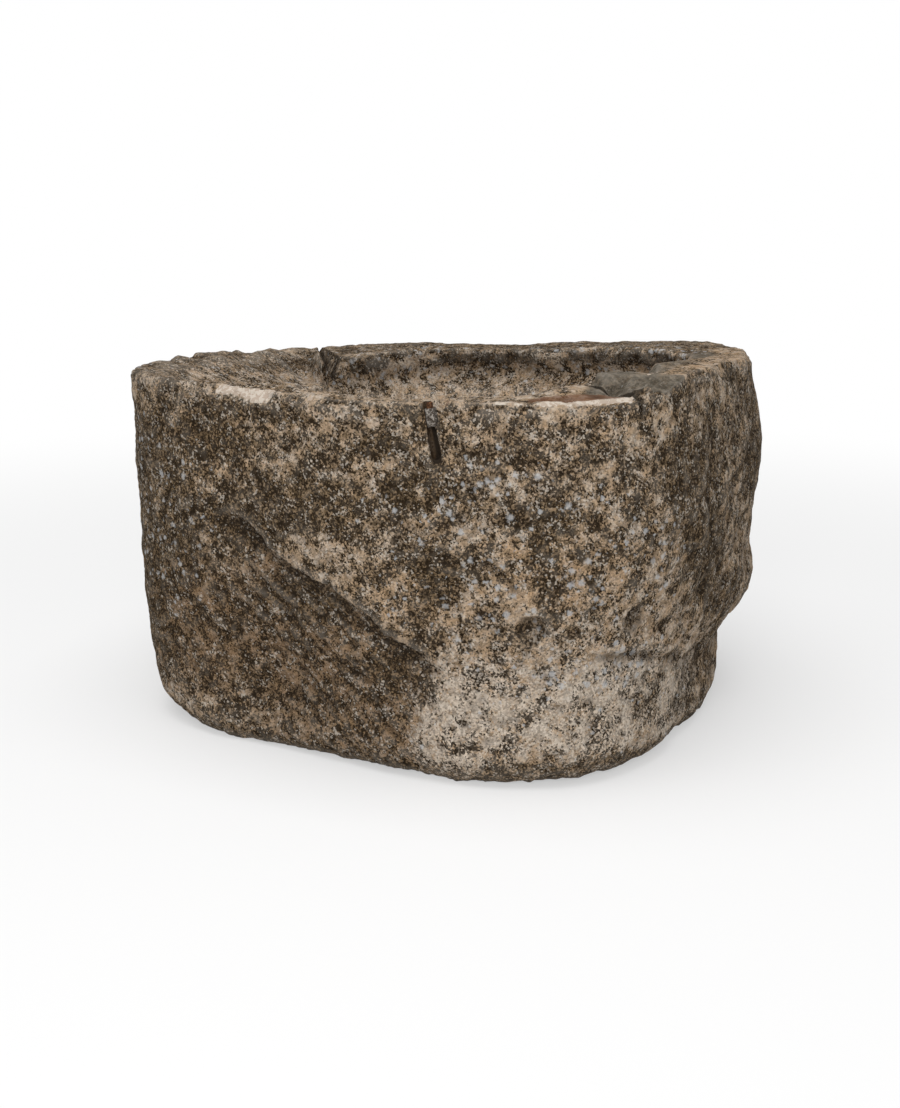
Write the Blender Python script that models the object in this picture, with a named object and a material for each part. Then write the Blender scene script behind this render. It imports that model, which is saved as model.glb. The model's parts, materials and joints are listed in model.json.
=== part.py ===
"""Limestone trough: a hand-cut block hollowed into a basin, with the stump of an iron pin leaded into it.

Metres, +Z up. The ground is at Z = 0, the front faces -Y and the thick left end lies at -X.
Angles are degrees in plan, anticlockwise from +X: the right end is at 0, the back at 90, the left end
at 180 and the front at 270.
"""

import math

import bmesh
import bpy
import numpy as np
from mathutils import Matrix, Vector

# The block, before its surface wanders
BLOCK_LENGTH = 0.930
BLOCK_DEPTH = 0.840
BLOCK_HEIGHT = 0.602  # ground to the rim over the right end
BLOCK_SQUARENESS = 3.1  # exponent of the plan's superellipse: 2 is an ellipse, more is squarer
ARRIS_ROUND = 0.012  # wear on the outer and inner edges of the rim

# The basin
LEFT_WALL = 0.160
RIGHT_WALL = 0.095
FRONT_WALL = 0.062
BACK_WALL = 0.090
FLOOR_THICKNESS = 0.190
BASIN_SQUARENESS = 2.7
BASIN_BATTER = 0.105  # how far the basin's wall leans in from the mouth to the floor
BASIN_FILLET = 0.070  # round between the basin's wall and its floor
FLOOR_FALL = 0.006  # the floor dips this much towards its middle
LIP_RECESS = 0.014  # the back wall is hollowed this far under its lip
LIP_DEPTH = 0.040  # middle of that hollow below the rim
LIP_SPREAD = 0.020
LIP_ANGLE = 75.0
LIP_REACH = 62.0  # degrees to each side of LIP_ANGLE

# The stone strays outwards from the nominal plan by these distances, at each 30 degrees from 0 to 330
RIM_STRAY = (-0.006, 0.010, 0.046, 0.009, -0.011, -0.010, 0.016, 0.030, -0.010, 0.005, -0.008, -0.006)
BELLY_STRAY = (0.016, 0.030, 0.048, 0.012, -0.008, -0.010, 0.012, 0.026, -0.008, 0.010, 0.000, 0.006)
HEEL_STRAY = (-0.030, -0.024, 0.006, 0.002, -0.014, -0.014, 0.010, 0.020, -0.022, -0.016, -0.016, -0.028)
FOOT_STRAY = (-0.068, -0.048, -0.014, -0.030, -0.042, -0.044, -0.034, -0.038, -0.064, -0.062, -0.060, -0.082)
BELLY_HEIGHT = 0.400
HEEL_HEIGHT = 0.090  # the outer face eases outwards from here to the belly
HEEL_ROUND = 0.060  # height over which the heel rolls under to the foot
RIM_DROP = (0.000, 0.012, 0.019, 0.034, 0.040, 0.044, 0.028, 0.022, 0.020, 0.024, 0.020, 0.016)
BASIN_STRAY = (0.000, 0.010, -0.010, 0.000, 0.010, -0.026, -0.020, 0.000, 0.010, 0.004, -0.008, -0.034)

# Hollows of the outer face, and swellings where the depth is negative: each is a bell in angle and height
SCOOP = {"middle": 248.0, "level": 0.110, "breadth": 24.0, "rise": 0.110, "depth": 0.032}
RIGHT_UNDERCUT = {"middle": 24.0, "level": 0.115, "breadth": 40.0, "rise": 0.025, "depth": 0.006}
RIGHT_SWELL = {"middle": 32.0, "level": 0.205, "breadth": 34.0, "rise": 0.065, "depth": -0.034}
LEFT_HEEL = {"middle": 204.0, "level": 0.000, "breadth": 26.0, "rise": 0.080, "depth": 0.016}

# Steps in the outer face, which stands back by the depth below a line of (angle, height) points. Step is the
# height over which it does so, fade the height below over which it comes out again, and ends the degrees
# over which the line begins and ends.
CREASE = {
    "line": ((244.0, 0.385), (255.0, 0.322), (262.0, 0.296), (270.0, 0.268), (278.0, 0.236), (288.0, 0.186)),
    "depth": 0.011, "step": 0.020, "fade": 0.120, "ends": 14.0,
}
LEDGE = {
    "line": ((318.0, 0.210), (328.0, 0.200), (340.0, 0.172), (352.0, 0.150), (370.0, 0.158), (400.0, 0.150)),
    "depth": 0.007, "step": 0.010, "fade": 0.050, "ends": 8.0,
}

# The worn left end. Its rim falls towards the basin, and it ends at the back in a break, past which the
# basin's wall stands back.
BREAK_ANGLES = (145.2, 163.8)  # of the break, at the rim's outer edge and at its inner edge
BREAK_RAMP = 3.0  # degrees over which the rim steps up to it
BREAK_RECESS = 0.024
BREAK_FADE = 26.0  # degrees over which the stand-back dies away
WORN_FALL = 0.048
WORN_FADE = (215.0, 242.0)  # angles between which the fall dies away
FALL_START = 0.13  # share of the rim's breadth over which it stays level
CREST = {"middle": 316.5, "breadth": 7.0, "rise": 0.009}  # the front wall's inner edge, beside the cleft

# The hole drilled down into the front wall's rim for an iron pin, and the stone lost from round it
HOLE_X = 0.139
HOLE_DIAMETER = 0.018
HOLE_LENGTH = 0.086  # below the rim
HOLE_INSET = 0.011  # axis behind the outer face
HOLE_LEAN = 10.0  # degrees, top to the left
SPLIT_WIDTH = 0.015  # the face has burst off in front of the hole
BREACH_WIDTH = 0.028  # the V broken through the wall on the hole's right
BREACH_DROP = 0.040
BREACH_HEADING = 24.0  # degrees that it runs to the left on its way in
BREACH_FALL = 9.0  # degrees that its bottom falls on its way in
LEAD_DROP = 0.011  # top of the lead below the rim
LEAD_LENGTH = 0.026
LEAD_FRONT = 0.0072  # the lead's flat front, ahead of the hole's axis
PIN_DIAMETER = 0.011
PIN_DROP = 0.002
PIN_LENGTH = 0.030
CLEARANCE = 0.0003

# Flakes broken off the rim's outer edge: angle, reach, depth, and upward tilt of the broken face in degrees
FLAKES = (
    (243.6, 0.026, 0.0100, 52.0), (247.6, 0.026, 0.0115, 36.0), (251.6, 0.030, 0.0130, 44.0),
    (303.0, 0.050, 0.0070, 50.0), (310.0, 0.050, 0.0080, 50.0), (317.0, 0.050, 0.0090, 52.0),
    (322.5, 0.036, 0.0100, 50.0), (345.0, 0.060, 0.0100, 35.0), (2.0, 0.070, 0.0120, 30.0),
    (28.0, 0.070, 0.0120, 45.0), (66.0, 0.080, 0.0130, 40.0), (113.0, 0.090, 0.0150, 40.0),
    (165.0, 0.090, 0.0150, 45.0), (196.0, 0.070, 0.0110, 40.0),
)
FLAKE_EASE = 0.25  # share of the reach over which a broken face dies out
# Breaks on top of the corner block: a point, the broken face's normal, depth and reach
BREAKS = (
    ((0.412, -0.205, 0.606), (0.12, -0.34, 0.94), 0.010, 0.062),
    ((0.383, -0.240, 0.604), (-0.50, -0.35, 0.80), 0.011, 0.052),
    ((0.372, -0.110, 0.606), (-0.70, -0.20, 0.68), 0.010, 0.060),
)

# Clefts in the rim. Width is at the rim, drop at the outer face and reach inwards; turn is away from the
# radius, and fall is downwards on the way in. Both are degrees.
CORNER_CLEFT = {"angle": 326.0, "width": 0.016, "drop": 0.044, "reach": 0.200, "turn": 4.0, "fall": -4.0}
BACK_CLEFT = {"angle": 145.2, "width": 0.012, "drop": 0.012, "turn": -19.6, "fall": 9.0}
CORNER_RISE = 0.020  # the corner stands this much over the front wall, from the cleft on
CORNER_RAMP = 4.0  # degrees over which it steps up
CORNER_FADE = 40.0  # degrees over which it dies away to the right end's height

# Fineness of the solid
COLUMNS = 120
WALL_ROWS = 14
EDGE_ROWS = 2
RIM_ROWS = 3
BASIN_ROWS = 11
FLOOR_RINGS = 2
CUTTER_REACH = 0.060

LIMESTONE = ("limestone", (0.42, 0.36, 0.29), 0.92, 0.0)
LEAD = ("weathered_lead", (0.36, 0.36, 0.34), 0.55, 0.7)
RUSTED_IRON = ("rusted_iron", (0.22, 0.11, 0.06), 0.85, 0.3)

BASIN_CENTRE = ((LEFT_WALL - RIGHT_WALL) / 2, (FRONT_WALL - BACK_WALL) / 2)


def material(name, colour, roughness, metallic):
    """A Principled material of one colour."""
    made = bpy.data.materials.new(name)
    made.use_nodes = True
    shader = made.node_tree.nodes["Principled BSDF"]
    shader.inputs["Base Color"].default_value = (*colour, 1.0)
    shader.inputs["Roughness"].default_value = roughness
    shader.inputs["Metallic"].default_value = metallic
    made.diffuse_color = (*colour, 1.0)
    return made


def survey(values, angle):
    """A closed smooth curve through evenly spaced values: a Catmull-Rom spline round the compass."""
    values = np.asarray(values)
    place = np.mod(angle, 360.0) * len(values) / 360.0
    first = np.floor(place).astype(int)
    t = place - first
    before, start, end, after = (values[(first + k) % len(values)] for k in (-1, 0, 1, 2))
    bend = (2 * before - 5 * start + 4 * end - after) * t**2 + (3 * start - before - 3 * end + after) * t**3
    return start + 0.5 * ((end - before) * t + bend)


def superellipse(angle, length, depth, squareness):
    """Distance from the centre to a superellipse of that length and depth, at an angle in degrees."""
    turn = np.radians(angle)
    along = np.abs(np.cos(turn) / (length / 2)) ** squareness
    across = np.abs(np.sin(turn) / (depth / 2)) ** squareness
    return (along + across) ** (-1 / squareness)


def smooth(share):
    """Eases from 0 to 1 with level ends."""
    share = np.clip(share, 0.0, 1.0)
    return share * share * (3 - 2 * share)


def turn_between(angle, other):
    """Signed degrees from other to angle, the short way round."""
    return np.mod(angle - other + 180.0, 360.0) - 180.0


def swelling(angle, height, middle, level, breadth, rise, depth):
    """Outward push of one hollow or swelling: a bell in angle times a bell in height."""
    around = turn_between(angle, middle) / breadth
    upward = (height - level) / rise
    return -depth * np.exp(-(around**2) - upward**2)


def below_line(line, angle, height, step, fade, ends):
    """1 just below a line of (angle, height) points, 0 above it, dying away downwards and near its ends."""
    angles, heights = np.array(line).T
    turned = angles[0] + np.mod(angle - angles[0] + 90.0, 360.0) - 90.0
    drop = np.interp(turned, angles, heights) - height
    along = smooth((turned - angles[0]) / ends + 0.5) * smooth((angles[-1] - turned) / ends + 0.5)
    return along * smooth(drop / step + 0.5) * np.exp(-np.maximum(drop, 0.0) / fade)


def step_back(angle, height, line, depth, step, fade, ends):
    """How far the outer face stands back below one stepped line."""
    return depth * below_line(line, angle, height, step, fade, ends)


def rim_height(angle):
    """The rim wanders, and steps up at the corner cleft from the front wall to the corner block."""
    past = turn_between(angle, CORNER_CLEFT["angle"])
    step = smooth(past / CORNER_RAMP + 0.5) * (1.0 - smooth(past / CORNER_FADE))
    return BLOCK_HEIGHT - survey(RIM_DROP, angle) + CORNER_RISE * step


def outer_radius(angle, height):
    """Plan distance of the outer face: the nominal plan, its stray from heel to rim, swellings and steps."""
    strays = (FOOT_STRAY, HEEL_STRAY, BELLY_STRAY, RIM_STRAY)
    foot, heel, belly, rim = (survey(stray, angle) for stray in strays)
    stray = heel + (belly - heel) * smooth((height - HEEL_HEIGHT) / (BELLY_HEIGHT - HEEL_HEIGHT))
    stray = stray + (rim - belly) * smooth((height - BELLY_HEIGHT) / (BLOCK_HEIGHT - BELLY_HEIGHT))
    for feature in (SCOOP, RIGHT_UNDERCUT, RIGHT_SWELL, LEFT_HEEL):
        stray = stray + swelling(angle, height, **feature)
    for feature in (CREASE, LEDGE):
        stray = stray - step_back(angle, height, **feature)
    roll = 1.0 - np.clip(height / HEEL_ROUND, 0.0, 1.0)
    stray = stray + (foot - heel) * (1.0 - np.sqrt(1.0 - roll**2))
    return superellipse(angle, BLOCK_LENGTH, BLOCK_DEPTH, BLOCK_SQUARENESS) + stray


def ring(radius, angle, height, centre=(0.0, 0.0)):
    """Points of one row of the block, as an array of N by 3."""
    turn = np.radians(angle)
    height = np.broadcast_to(height, angle.shape)
    return np.stack([centre[0] + radius * np.cos(turn), centre[1] + radius * np.sin(turn), height], axis=1)


def basin_mouth(angle):
    """Plan distance of the basin's mouth from its own centre. It stands back beyond the break."""
    length = BLOCK_LENGTH - LEFT_WALL - RIGHT_WALL
    depth = BLOCK_DEPTH - FRONT_WALL - BACK_WALL
    beyond = turn_between(BREAK_ANGLES[1], angle)
    stand_back = BREAK_RECESS * smooth(beyond / BREAK_RAMP + 0.5) * (1.0 - smooth(beyond / BREAK_FADE))
    return superellipse(angle, length, depth, BASIN_SQUARENESS) + survey(BASIN_STRAY, angle) + stand_back


def rim_fall(angle, across):
    """How far the rim lies below its outer edge: worn down at the left, and up to a crest by the cleft."""
    outer, inner = BREAK_ANGLES
    past_break = smooth(turn_between(angle, outer + (inner - outer) * across) / BREAK_RAMP + 0.5)
    start, end = WORN_FADE
    worn = WORN_FALL * past_break * (1.0 - smooth(turn_between(angle, start) / (end - start)))
    crest = CREST["rise"] * np.exp(-((turn_between(angle, CREST["middle"]) / CREST["breadth"]) ** 2))
    return (worn - crest) * smooth((across - FALL_START) / (1.0 - FALL_START))


def basin_wall(angle, mouth, top, share):
    """One row of the basin's wall by its share of the way down: lip, hollow below it, slope and fillet."""
    straight = 0.75
    fillet_top = FLOOR_THICKNESS + BASIN_FILLET
    down = min(share / straight, 1.0)
    height = top + (fillet_top - top) * down**1.3
    drop = top - height
    past_lip = np.clip((drop - LIP_DEPTH) / (top - fillet_top - LIP_DEPTH), 0.0, 1.0)
    upward = (drop - LIP_DEPTH) / LIP_SPREAD
    around = turn_between(angle, LIP_ANGLE) / LIP_REACH
    inset = BASIN_BATTER * past_lip**0.8 - LIP_RECESS * np.exp(-(upward**2) - around**4)
    turn = 0.5 * math.pi * max(share - straight, 0.0) / (1 - straight)
    inset = inset + BASIN_FILLET * (1 - math.cos(turn))
    return ring(mouth - inset, angle, height - BASIN_FILLET * math.sin(turn), BASIN_CENTRE)


def block_rows(angle):
    """Rows of the block's surface: up the outer face, over the rim and down to the basin's floor."""
    top, fall = rim_height(angle), rim_fall(angle, 1.0)
    outer, mouth = outer_radius(angle, top), basin_mouth(angle)
    rows = []
    for k in range(WALL_ROWS + 1):
        height = (top - ARRIS_ROUND) * (k / WALL_ROWS) ** 1.25
        rows.append(ring(outer_radius(angle, height), angle, height))
    quarter = 0.5 * math.pi * np.arange(1, EDGE_ROWS + 1) / EDGE_ROWS
    for turn in quarter:
        back, up = ARRIS_ROUND * (1 - math.cos(turn)), ARRIS_ROUND * math.sin(turn)
        rows.append(ring(outer - back, angle, top - ARRIS_ROUND + up))
    outside = ring(outer - ARRIS_ROUND, angle, top)
    inside = ring(mouth + ARRIS_ROUND, angle, top, BASIN_CENTRE)
    for k in range(1, RIM_ROWS + 1):
        row = outside + (inside - outside) * k / RIM_ROWS
        row[:, 2] -= rim_fall(angle, k / RIM_ROWS)
        rows.append(row)
    for turn in quarter:
        over, down = ARRIS_ROUND * (1 - math.sin(turn)), ARRIS_ROUND * (1 - math.cos(turn))
        rows.append(ring(mouth + over, angle, top - fall - down, BASIN_CENTRE))
    for k in range(1, BASIN_ROWS + 1):
        rows.append(basin_wall(angle, mouth, top - fall - ARRIS_ROUND, k / BASIN_ROWS))
    edge = mouth - BASIN_BATTER - BASIN_FILLET
    for k in range(1, FLOOR_RINGS + 1):
        share = 1 - k / (FLOOR_RINGS + 1)
        rows.append(ring(edge * share, angle, FLOOR_THICKNESS - FLOOR_FALL * (1 - share**2), BASIN_CENTRE))
    return rows


def flake_plane(angle, tilt):
    """A point on the rim's outer corner, and the direction out of the block there, turned up by tilt."""
    about = np.array([angle - 0.5, angle, angle + 0.5])
    edge = ring(outer_radius(about, BLOCK_HEIGHT), about, rim_height(about))
    along = edge[2] - edge[0]
    outward = np.array([along[1], -along[0], 0.0]) / np.hypot(along[0], along[1])
    lift = math.radians(tilt)
    return edge[1], outward * math.cos(lift) + np.array([0.0, 0.0, math.sin(lift)])


def chip(points, middle, normal, depth, reach):
    """Planes off what stands over a plane laid depth under a point, within reach of that point."""
    normal = np.array(normal) / np.linalg.norm(normal)
    over = (points - np.array(middle)) @ normal + depth
    near = smooth((1.0 - np.linalg.norm(points - np.array(middle), axis=-1) / reach) / FLAKE_EASE)
    return points - normal * (np.maximum(over, 0.0) * near)[..., None]


def loft(name, rows, first, last):
    """A closed solid through rows of as many points, shut by a fan to a first and a last point."""
    count = len(rows[0])
    work = bmesh.new()
    start, end = work.verts.new(first), work.verts.new(last)
    grid = [[work.verts.new(point) for point in row] for row in rows]
    for i in range(count):
        j = (i + 1) % count
        work.faces.new((start, grid[0][j], grid[0][i]))
        for lower, upper in zip(grid, grid[1:]):
            work.faces.new((lower[i], lower[j], upper[j], upper[i]))
        work.faces.new((end, grid[-1][i], grid[-1][j]))
    return mesh_object(name, work)


def mesh_object(name, work):
    """Ends a bmesh as a new object."""
    mesh = bpy.data.meshes.new(name)
    work.to_mesh(mesh)
    work.free()
    return bpy.data.objects.new(name, mesh)


def plate(name, outline, y_from, y_to):
    """A prism of a flat outline of (x, z) points, from one Y to another, as a mesh."""
    curve = bpy.data.curves.new(name, "CURVE")
    curve.dimensions = "2D"
    curve.fill_mode = "BOTH"
    curve.extrude = (y_to - y_from) / 2
    spline = curve.splines.new("POLY")
    spline.points.add(len(outline) - 1)
    for point, (x, z) in zip(spline.points, outline):
        point.co = (x, z, 0.0, 1.0)
    spline.use_cyclic_u = True
    drawn = bpy.data.objects.new(name, curve)
    bpy.context.scene.collection.objects.link(drawn)
    bpy.context.view_layer.update()
    mesh = bpy.data.meshes.new_from_object(drawn.evaluated_get(bpy.context.evaluated_depsgraph_get()))
    bpy.data.objects.remove(drawn)
    work = bmesh.new()
    work.from_mesh(mesh)
    bpy.data.meshes.remove(mesh)
    bmesh.ops.remove_doubles(work, verts=work.verts, dist=1e-5)
    work.transform(Matrix.Translation((0.0, (y_from + y_to) / 2, 0.0)) @ Matrix.Rotation(math.pi / 2, 4, "X"))
    bmesh.ops.recalc_face_normals(work, faces=work.faces)
    return mesh_object(name, work)


def upright_rod(name, diameter, top, bottom):
    """A round rod along Z."""
    work = bmesh.new()
    middle = Matrix.Translation((0.0, 0.0, (top + bottom) / 2))
    size = {"radius1": diameter / 2, "radius2": diameter / 2, "depth": top - bottom}
    bmesh.ops.create_cone(work, cap_ends=True, segments=20, matrix=middle, **size)
    return mesh_object(name, work)


def drilled_hole(name, diameter, top, bottom):
    """A round hole along Z with a round bottom: a sphere whose upper half is drawn up to the top."""
    work = bmesh.new()
    bmesh.ops.create_uvsphere(work, u_segments=20, v_segments=10, radius=diameter / 2)
    bottom_centre = bottom + diameter / 2
    for vert in work.verts:
        vert.co.z += top if vert.co.z > 1e-6 else bottom_centre
    return mesh_object(name, work)


def front_face(x, height):
    """Y of the outer face at that X and height, near the front."""
    angle = np.array([270.0])
    for _ in range(20):
        radius = outer_radius(angle, height)
        angle = 360.0 - np.degrees(np.arccos(x / radius))
    return float(radius[0] * math.sin(math.radians(angle[0])))


def hole_place():
    """The drilled hole's frame: its origin at the rim on the hole's axis, its +Z out along the hole."""
    face = front_face(HOLE_X, BLOCK_HEIGHT - HOLE_LENGTH)
    angle = math.degrees(math.atan2(face, HOLE_X))
    top = float(rim_height(np.array([angle]))[0])
    place = Matrix.Translation((HOLE_X, face + HOLE_INSET, top))
    return place @ Matrix.Rotation(-math.radians(HOLE_LEAN), 4, "Y")


def cleft_cutter(name, angle, width, drop, turn, fall, reach=None):
    """A wedge through the rim, from outside the outer face as far in as its reach, or else to over the basin."""
    there = np.array([angle])
    radius = outer_radius(there, BLOCK_HEIGHT)
    edge = ring(radius, there, rim_height(there))[0]
    inner = float(radius[0]) if reach is None else reach
    slope = width / drop / 2
    half = slope * (drop + CUTTER_REACH)
    cutter = plate(name, [(0.0, -drop), (half, CUTTER_REACH), (-half, CUTTER_REACH)], -CUTTER_REACH, inner)
    heading = Matrix.Rotation(math.radians(angle + 90.0 + turn), 4, "Z")
    tilt = Matrix.Rotation(-math.radians(fall), 4, "X")
    cutter.data.transform(Matrix.Translation(Vector(edge)) @ heading @ tilt)
    return cutter


def cut(piece, cutter, collection):
    """Cuts one closed object out of another. The exact solver leaves slits where cuts meet on the rim."""
    collection.objects.link(cutter)
    cutter.hide_render = True
    cutter.display_type = "WIRE"
    modifier = piece.modifiers.new(cutter.name, "BOOLEAN")
    modifier.operation = "DIFFERENCE"
    modifier.solver = "MANIFOLD"
    modifier.object = cutter


def finish_piece(piece, look, collection):
    """Gives a piece its material and smooth shading, and puts it with the parts."""
    collection.objects.link(piece)
    piece.data.materials.clear()
    piece.data.materials.append(material(*look))
    piece.data.shade_smooth()
    piece.data.set_sharp_from_angle(angle=math.radians(35.0))


def cut_breach(block, place, cutters):
    """The V broken through the front wall beside the hole: upright on its left, sloping on its right."""
    height = BREACH_DROP + CUTTER_REACH
    outline = [(0.0, 0.0), (BREACH_WIDTH * height / BREACH_DROP, height), (0.0, height)]
    breach = plate("breach_cutter", outline, -CUTTER_REACH, FRONT_WALL + CUTTER_REACH)
    tip = Matrix.Translation((SPLIT_WIDTH / 2 - 0.001, -HOLE_INSET, -BREACH_DROP))
    heading = Matrix.Rotation(math.radians(BREACH_HEADING), 4, "Z")
    breach.data.transform(place @ tip @ heading @ Matrix.Rotation(-math.radians(BREACH_FALL), 4, "X"))
    cut(block, breach, cutters)


def cut_pin_hole(block, place, cutters):
    """The drilled hole, and the channel where the face has burst off in front of it."""
    hole = drilled_hole("hole_cutter", HOLE_DIAMETER, CUTTER_REACH, -HOLE_LENGTH)
    hole.data.transform(place)
    cut(block, hole, cutters)
    half = SPLIT_WIDTH / 2
    foot = half - HOLE_LENGTH + (HOLE_DIAMETER - SPLIT_WIDTH) / 2
    arc = [(half * math.cos(t), foot + half * math.sin(t)) for t in np.linspace(-math.pi, 0.0, 9)]
    outline = [*arc, (half, CUTTER_REACH), (-half, CUTTER_REACH)]
    split = plate("split_cutter", outline, -HOLE_INSET - CUTTER_REACH, 0.0)
    split.data.transform(place)
    cut(block, split, cutters)


def make_block(parts, cutters):
    angle = np.linspace(0.0, 360.0, COLUMNS, endpoint=False)
    floor = (*BASIN_CENTRE, FLOOR_THICKNESS - FLOOR_FALL)
    surface = np.array(block_rows(angle))
    for flake_angle, reach, depth, tilt in FLAKES:
        surface = chip(surface, *flake_plane(flake_angle, tilt), depth, reach)
    for broken in BREAKS:
        surface = chip(surface, *broken)
    block = loft("limestone_block", surface, (0.0, 0.0, 0.0), floor)
    finish_piece(block, LIMESTONE, parts)
    place = hole_place()
    cut_pin_hole(block, place, cutters)
    cut_breach(block, place, cutters)
    cut(block, cleft_cutter("corner_cleft_cutter", **CORNER_CLEFT), cutters)
    cut(block, cleft_cutter("back_cleft_cutter", **BACK_CLEFT), cutters)


def make_fixing(parts, cutters):
    """The lead run into the hole, flat where it came away with the face, and the pin's stump in it."""
    place = hole_place()
    bottom = -LEAD_DROP - LEAD_LENGTH
    lead = upright_rod("lead_packing", HOLE_DIAMETER - 2 * CLEARANCE, -LEAD_DROP, bottom)
    lead.data.transform(place)
    finish_piece(lead, LEAD, parts)
    side = HOLE_DIAMETER
    front_outline = [(-side, bottom - side), (side, bottom - side), (side, side), (-side, side)]
    front = plate("lead_front_cutter", front_outline, -2 * side, -LEAD_FRONT)
    front.data.transform(place)
    cut(lead, front, cutters)
    pin = upright_rod("iron_pin_stub", PIN_DIAMETER, -PIN_DROP, -PIN_DROP - PIN_LENGTH)
    pin.data.transform(place)
    finish_piece(pin, RUSTED_IRON, parts)
    socket_end = -PIN_DROP - PIN_LENGTH - CLEARANCE
    socket = upright_rod("pin_socket_cutter", PIN_DIAMETER + 2 * CLEARANCE, CUTTER_REACH, socket_end)
    socket.data.transform(place)
    cut(lead, socket, cutters)


def main():
    for obj in list(bpy.data.objects):
        bpy.data.objects.remove(obj)
    parts = bpy.data.collections.new("limestone_trough")
    cutters = bpy.data.collections.new("cutters")
    for collection in (parts, cutters):
        bpy.context.scene.collection.children.link(collection)
    make_block(parts, cutters)
    make_fixing(parts, cutters)


main()
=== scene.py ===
"""Looks of the limestone trough: the weathered block, and the lead and rusted pin set in its front rim.

Metres, +Z up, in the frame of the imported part. Angles are degrees in plan, anticlockwise from +X: the right
end is at 0, the back at 90, the left end at 180 and the front at 270.
"""

import itertools
import json
import math

import bpy
import numpy as np
from mathutils import Matrix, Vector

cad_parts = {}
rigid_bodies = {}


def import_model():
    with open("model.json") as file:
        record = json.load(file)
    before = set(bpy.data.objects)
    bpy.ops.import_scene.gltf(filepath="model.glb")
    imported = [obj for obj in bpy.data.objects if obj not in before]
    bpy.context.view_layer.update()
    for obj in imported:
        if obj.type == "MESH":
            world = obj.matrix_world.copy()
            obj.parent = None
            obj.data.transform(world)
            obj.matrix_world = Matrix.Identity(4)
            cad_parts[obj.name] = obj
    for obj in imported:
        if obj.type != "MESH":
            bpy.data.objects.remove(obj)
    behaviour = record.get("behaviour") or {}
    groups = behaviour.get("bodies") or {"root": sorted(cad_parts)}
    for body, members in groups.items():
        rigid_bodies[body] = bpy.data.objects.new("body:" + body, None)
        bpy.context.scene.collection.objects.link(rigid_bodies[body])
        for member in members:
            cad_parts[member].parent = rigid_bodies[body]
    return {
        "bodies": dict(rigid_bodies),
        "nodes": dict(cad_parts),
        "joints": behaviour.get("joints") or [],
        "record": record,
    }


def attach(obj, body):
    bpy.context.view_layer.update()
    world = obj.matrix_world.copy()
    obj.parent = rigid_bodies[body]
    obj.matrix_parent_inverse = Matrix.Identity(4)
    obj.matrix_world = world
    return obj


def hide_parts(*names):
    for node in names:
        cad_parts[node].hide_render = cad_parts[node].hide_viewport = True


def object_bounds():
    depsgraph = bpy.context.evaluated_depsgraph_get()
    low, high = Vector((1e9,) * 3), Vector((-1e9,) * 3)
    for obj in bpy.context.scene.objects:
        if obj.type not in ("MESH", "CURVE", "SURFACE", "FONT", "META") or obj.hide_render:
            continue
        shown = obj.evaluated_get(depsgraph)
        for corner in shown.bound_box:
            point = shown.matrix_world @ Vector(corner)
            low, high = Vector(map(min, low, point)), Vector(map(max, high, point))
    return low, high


# The block's nominal form, as in the solid
BLOCK_LENGTH = 0.93
BLOCK_DEPTH = 0.84
BLOCK_HEIGHT = 0.602
BLOCK_SQUARENESS = 3.1
ARRIS_ROUND = 0.012
LEFT_WALL = 0.16
RIGHT_WALL = 0.095
FRONT_WALL = 0.062
BACK_WALL = 0.09
FLOOR_THICKNESS = 0.19
BASIN_SQUARENESS = 2.7
BASIN_BATTER = 0.105
BASIN_FILLET = 0.07
FLOOR_FALL = 0.006
LIP_RECESS = 0.014
LIP_DEPTH = 0.04
LIP_SPREAD = 0.02
LIP_ANGLE = 75.0
LIP_REACH = 62.0
RIM_STRAY = (-0.006, 0.01, 0.046, 0.009, -0.011, -0.01, 0.016, 0.03, -0.01, 0.005, -0.008, -0.006)
BELLY_STRAY = (0.016, 0.03, 0.048, 0.012, -0.008, -0.01, 0.012, 0.026, -0.008, 0.01, 0.0, 0.006)
HEEL_STRAY = (-0.03, -0.024, 0.006, 0.002, -0.014, -0.014, 0.01, 0.02, -0.022, -0.016, -0.016, -0.028)
FOOT_STRAY = (-0.068, -0.048, -0.014, -0.03, -0.042, -0.044, -0.034, -0.038, -0.064, -0.062, -0.06, -0.082)
BELLY_HEIGHT = 0.4
HEEL_HEIGHT = 0.09
HEEL_ROUND = 0.06
RIM_DROP = (0.0, 0.012, 0.019, 0.034, 0.04, 0.044, 0.028, 0.022, 0.02, 0.024, 0.02, 0.016)
BASIN_STRAY = (0.0, 0.01, -0.01, 0.0, 0.01, -0.026, -0.02, 0.0, 0.01, 0.004, -0.008, -0.034)
SCOOP = {"middle": 248.0, "level": 0.11, "breadth": 24.0, "rise": 0.11, "depth": 0.032}
RIGHT_UNDERCUT = {"middle": 24.0, "level": 0.115, "breadth": 40.0, "rise": 0.025, "depth": 0.006}
RIGHT_SWELL = {"middle": 32.0, "level": 0.205, "breadth": 34.0, "rise": 0.065, "depth": -0.034}
LEFT_HEEL = {"middle": 204.0, "level": 0.0, "breadth": 26.0, "rise": 0.08, "depth": 0.016}
CORNER_CLEFT = {"angle": 326.0, "width": 0.016, "drop": 0.044, "reach": 0.2, "turn": 4.0, "fall": -4.0}
BACK_CLEFT = {"angle": 145.2, "width": 0.012, "drop": 0.012, "turn": -19.6, "fall": 9.0}
CORNER_RISE = 0.02
CORNER_RAMP = 4.0
CORNER_FADE = 40.0
BASIN_CENTRE = ((LEFT_WALL - RIGHT_WALL) / 2, (FRONT_WALL - BACK_WALL) / 2)

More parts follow.
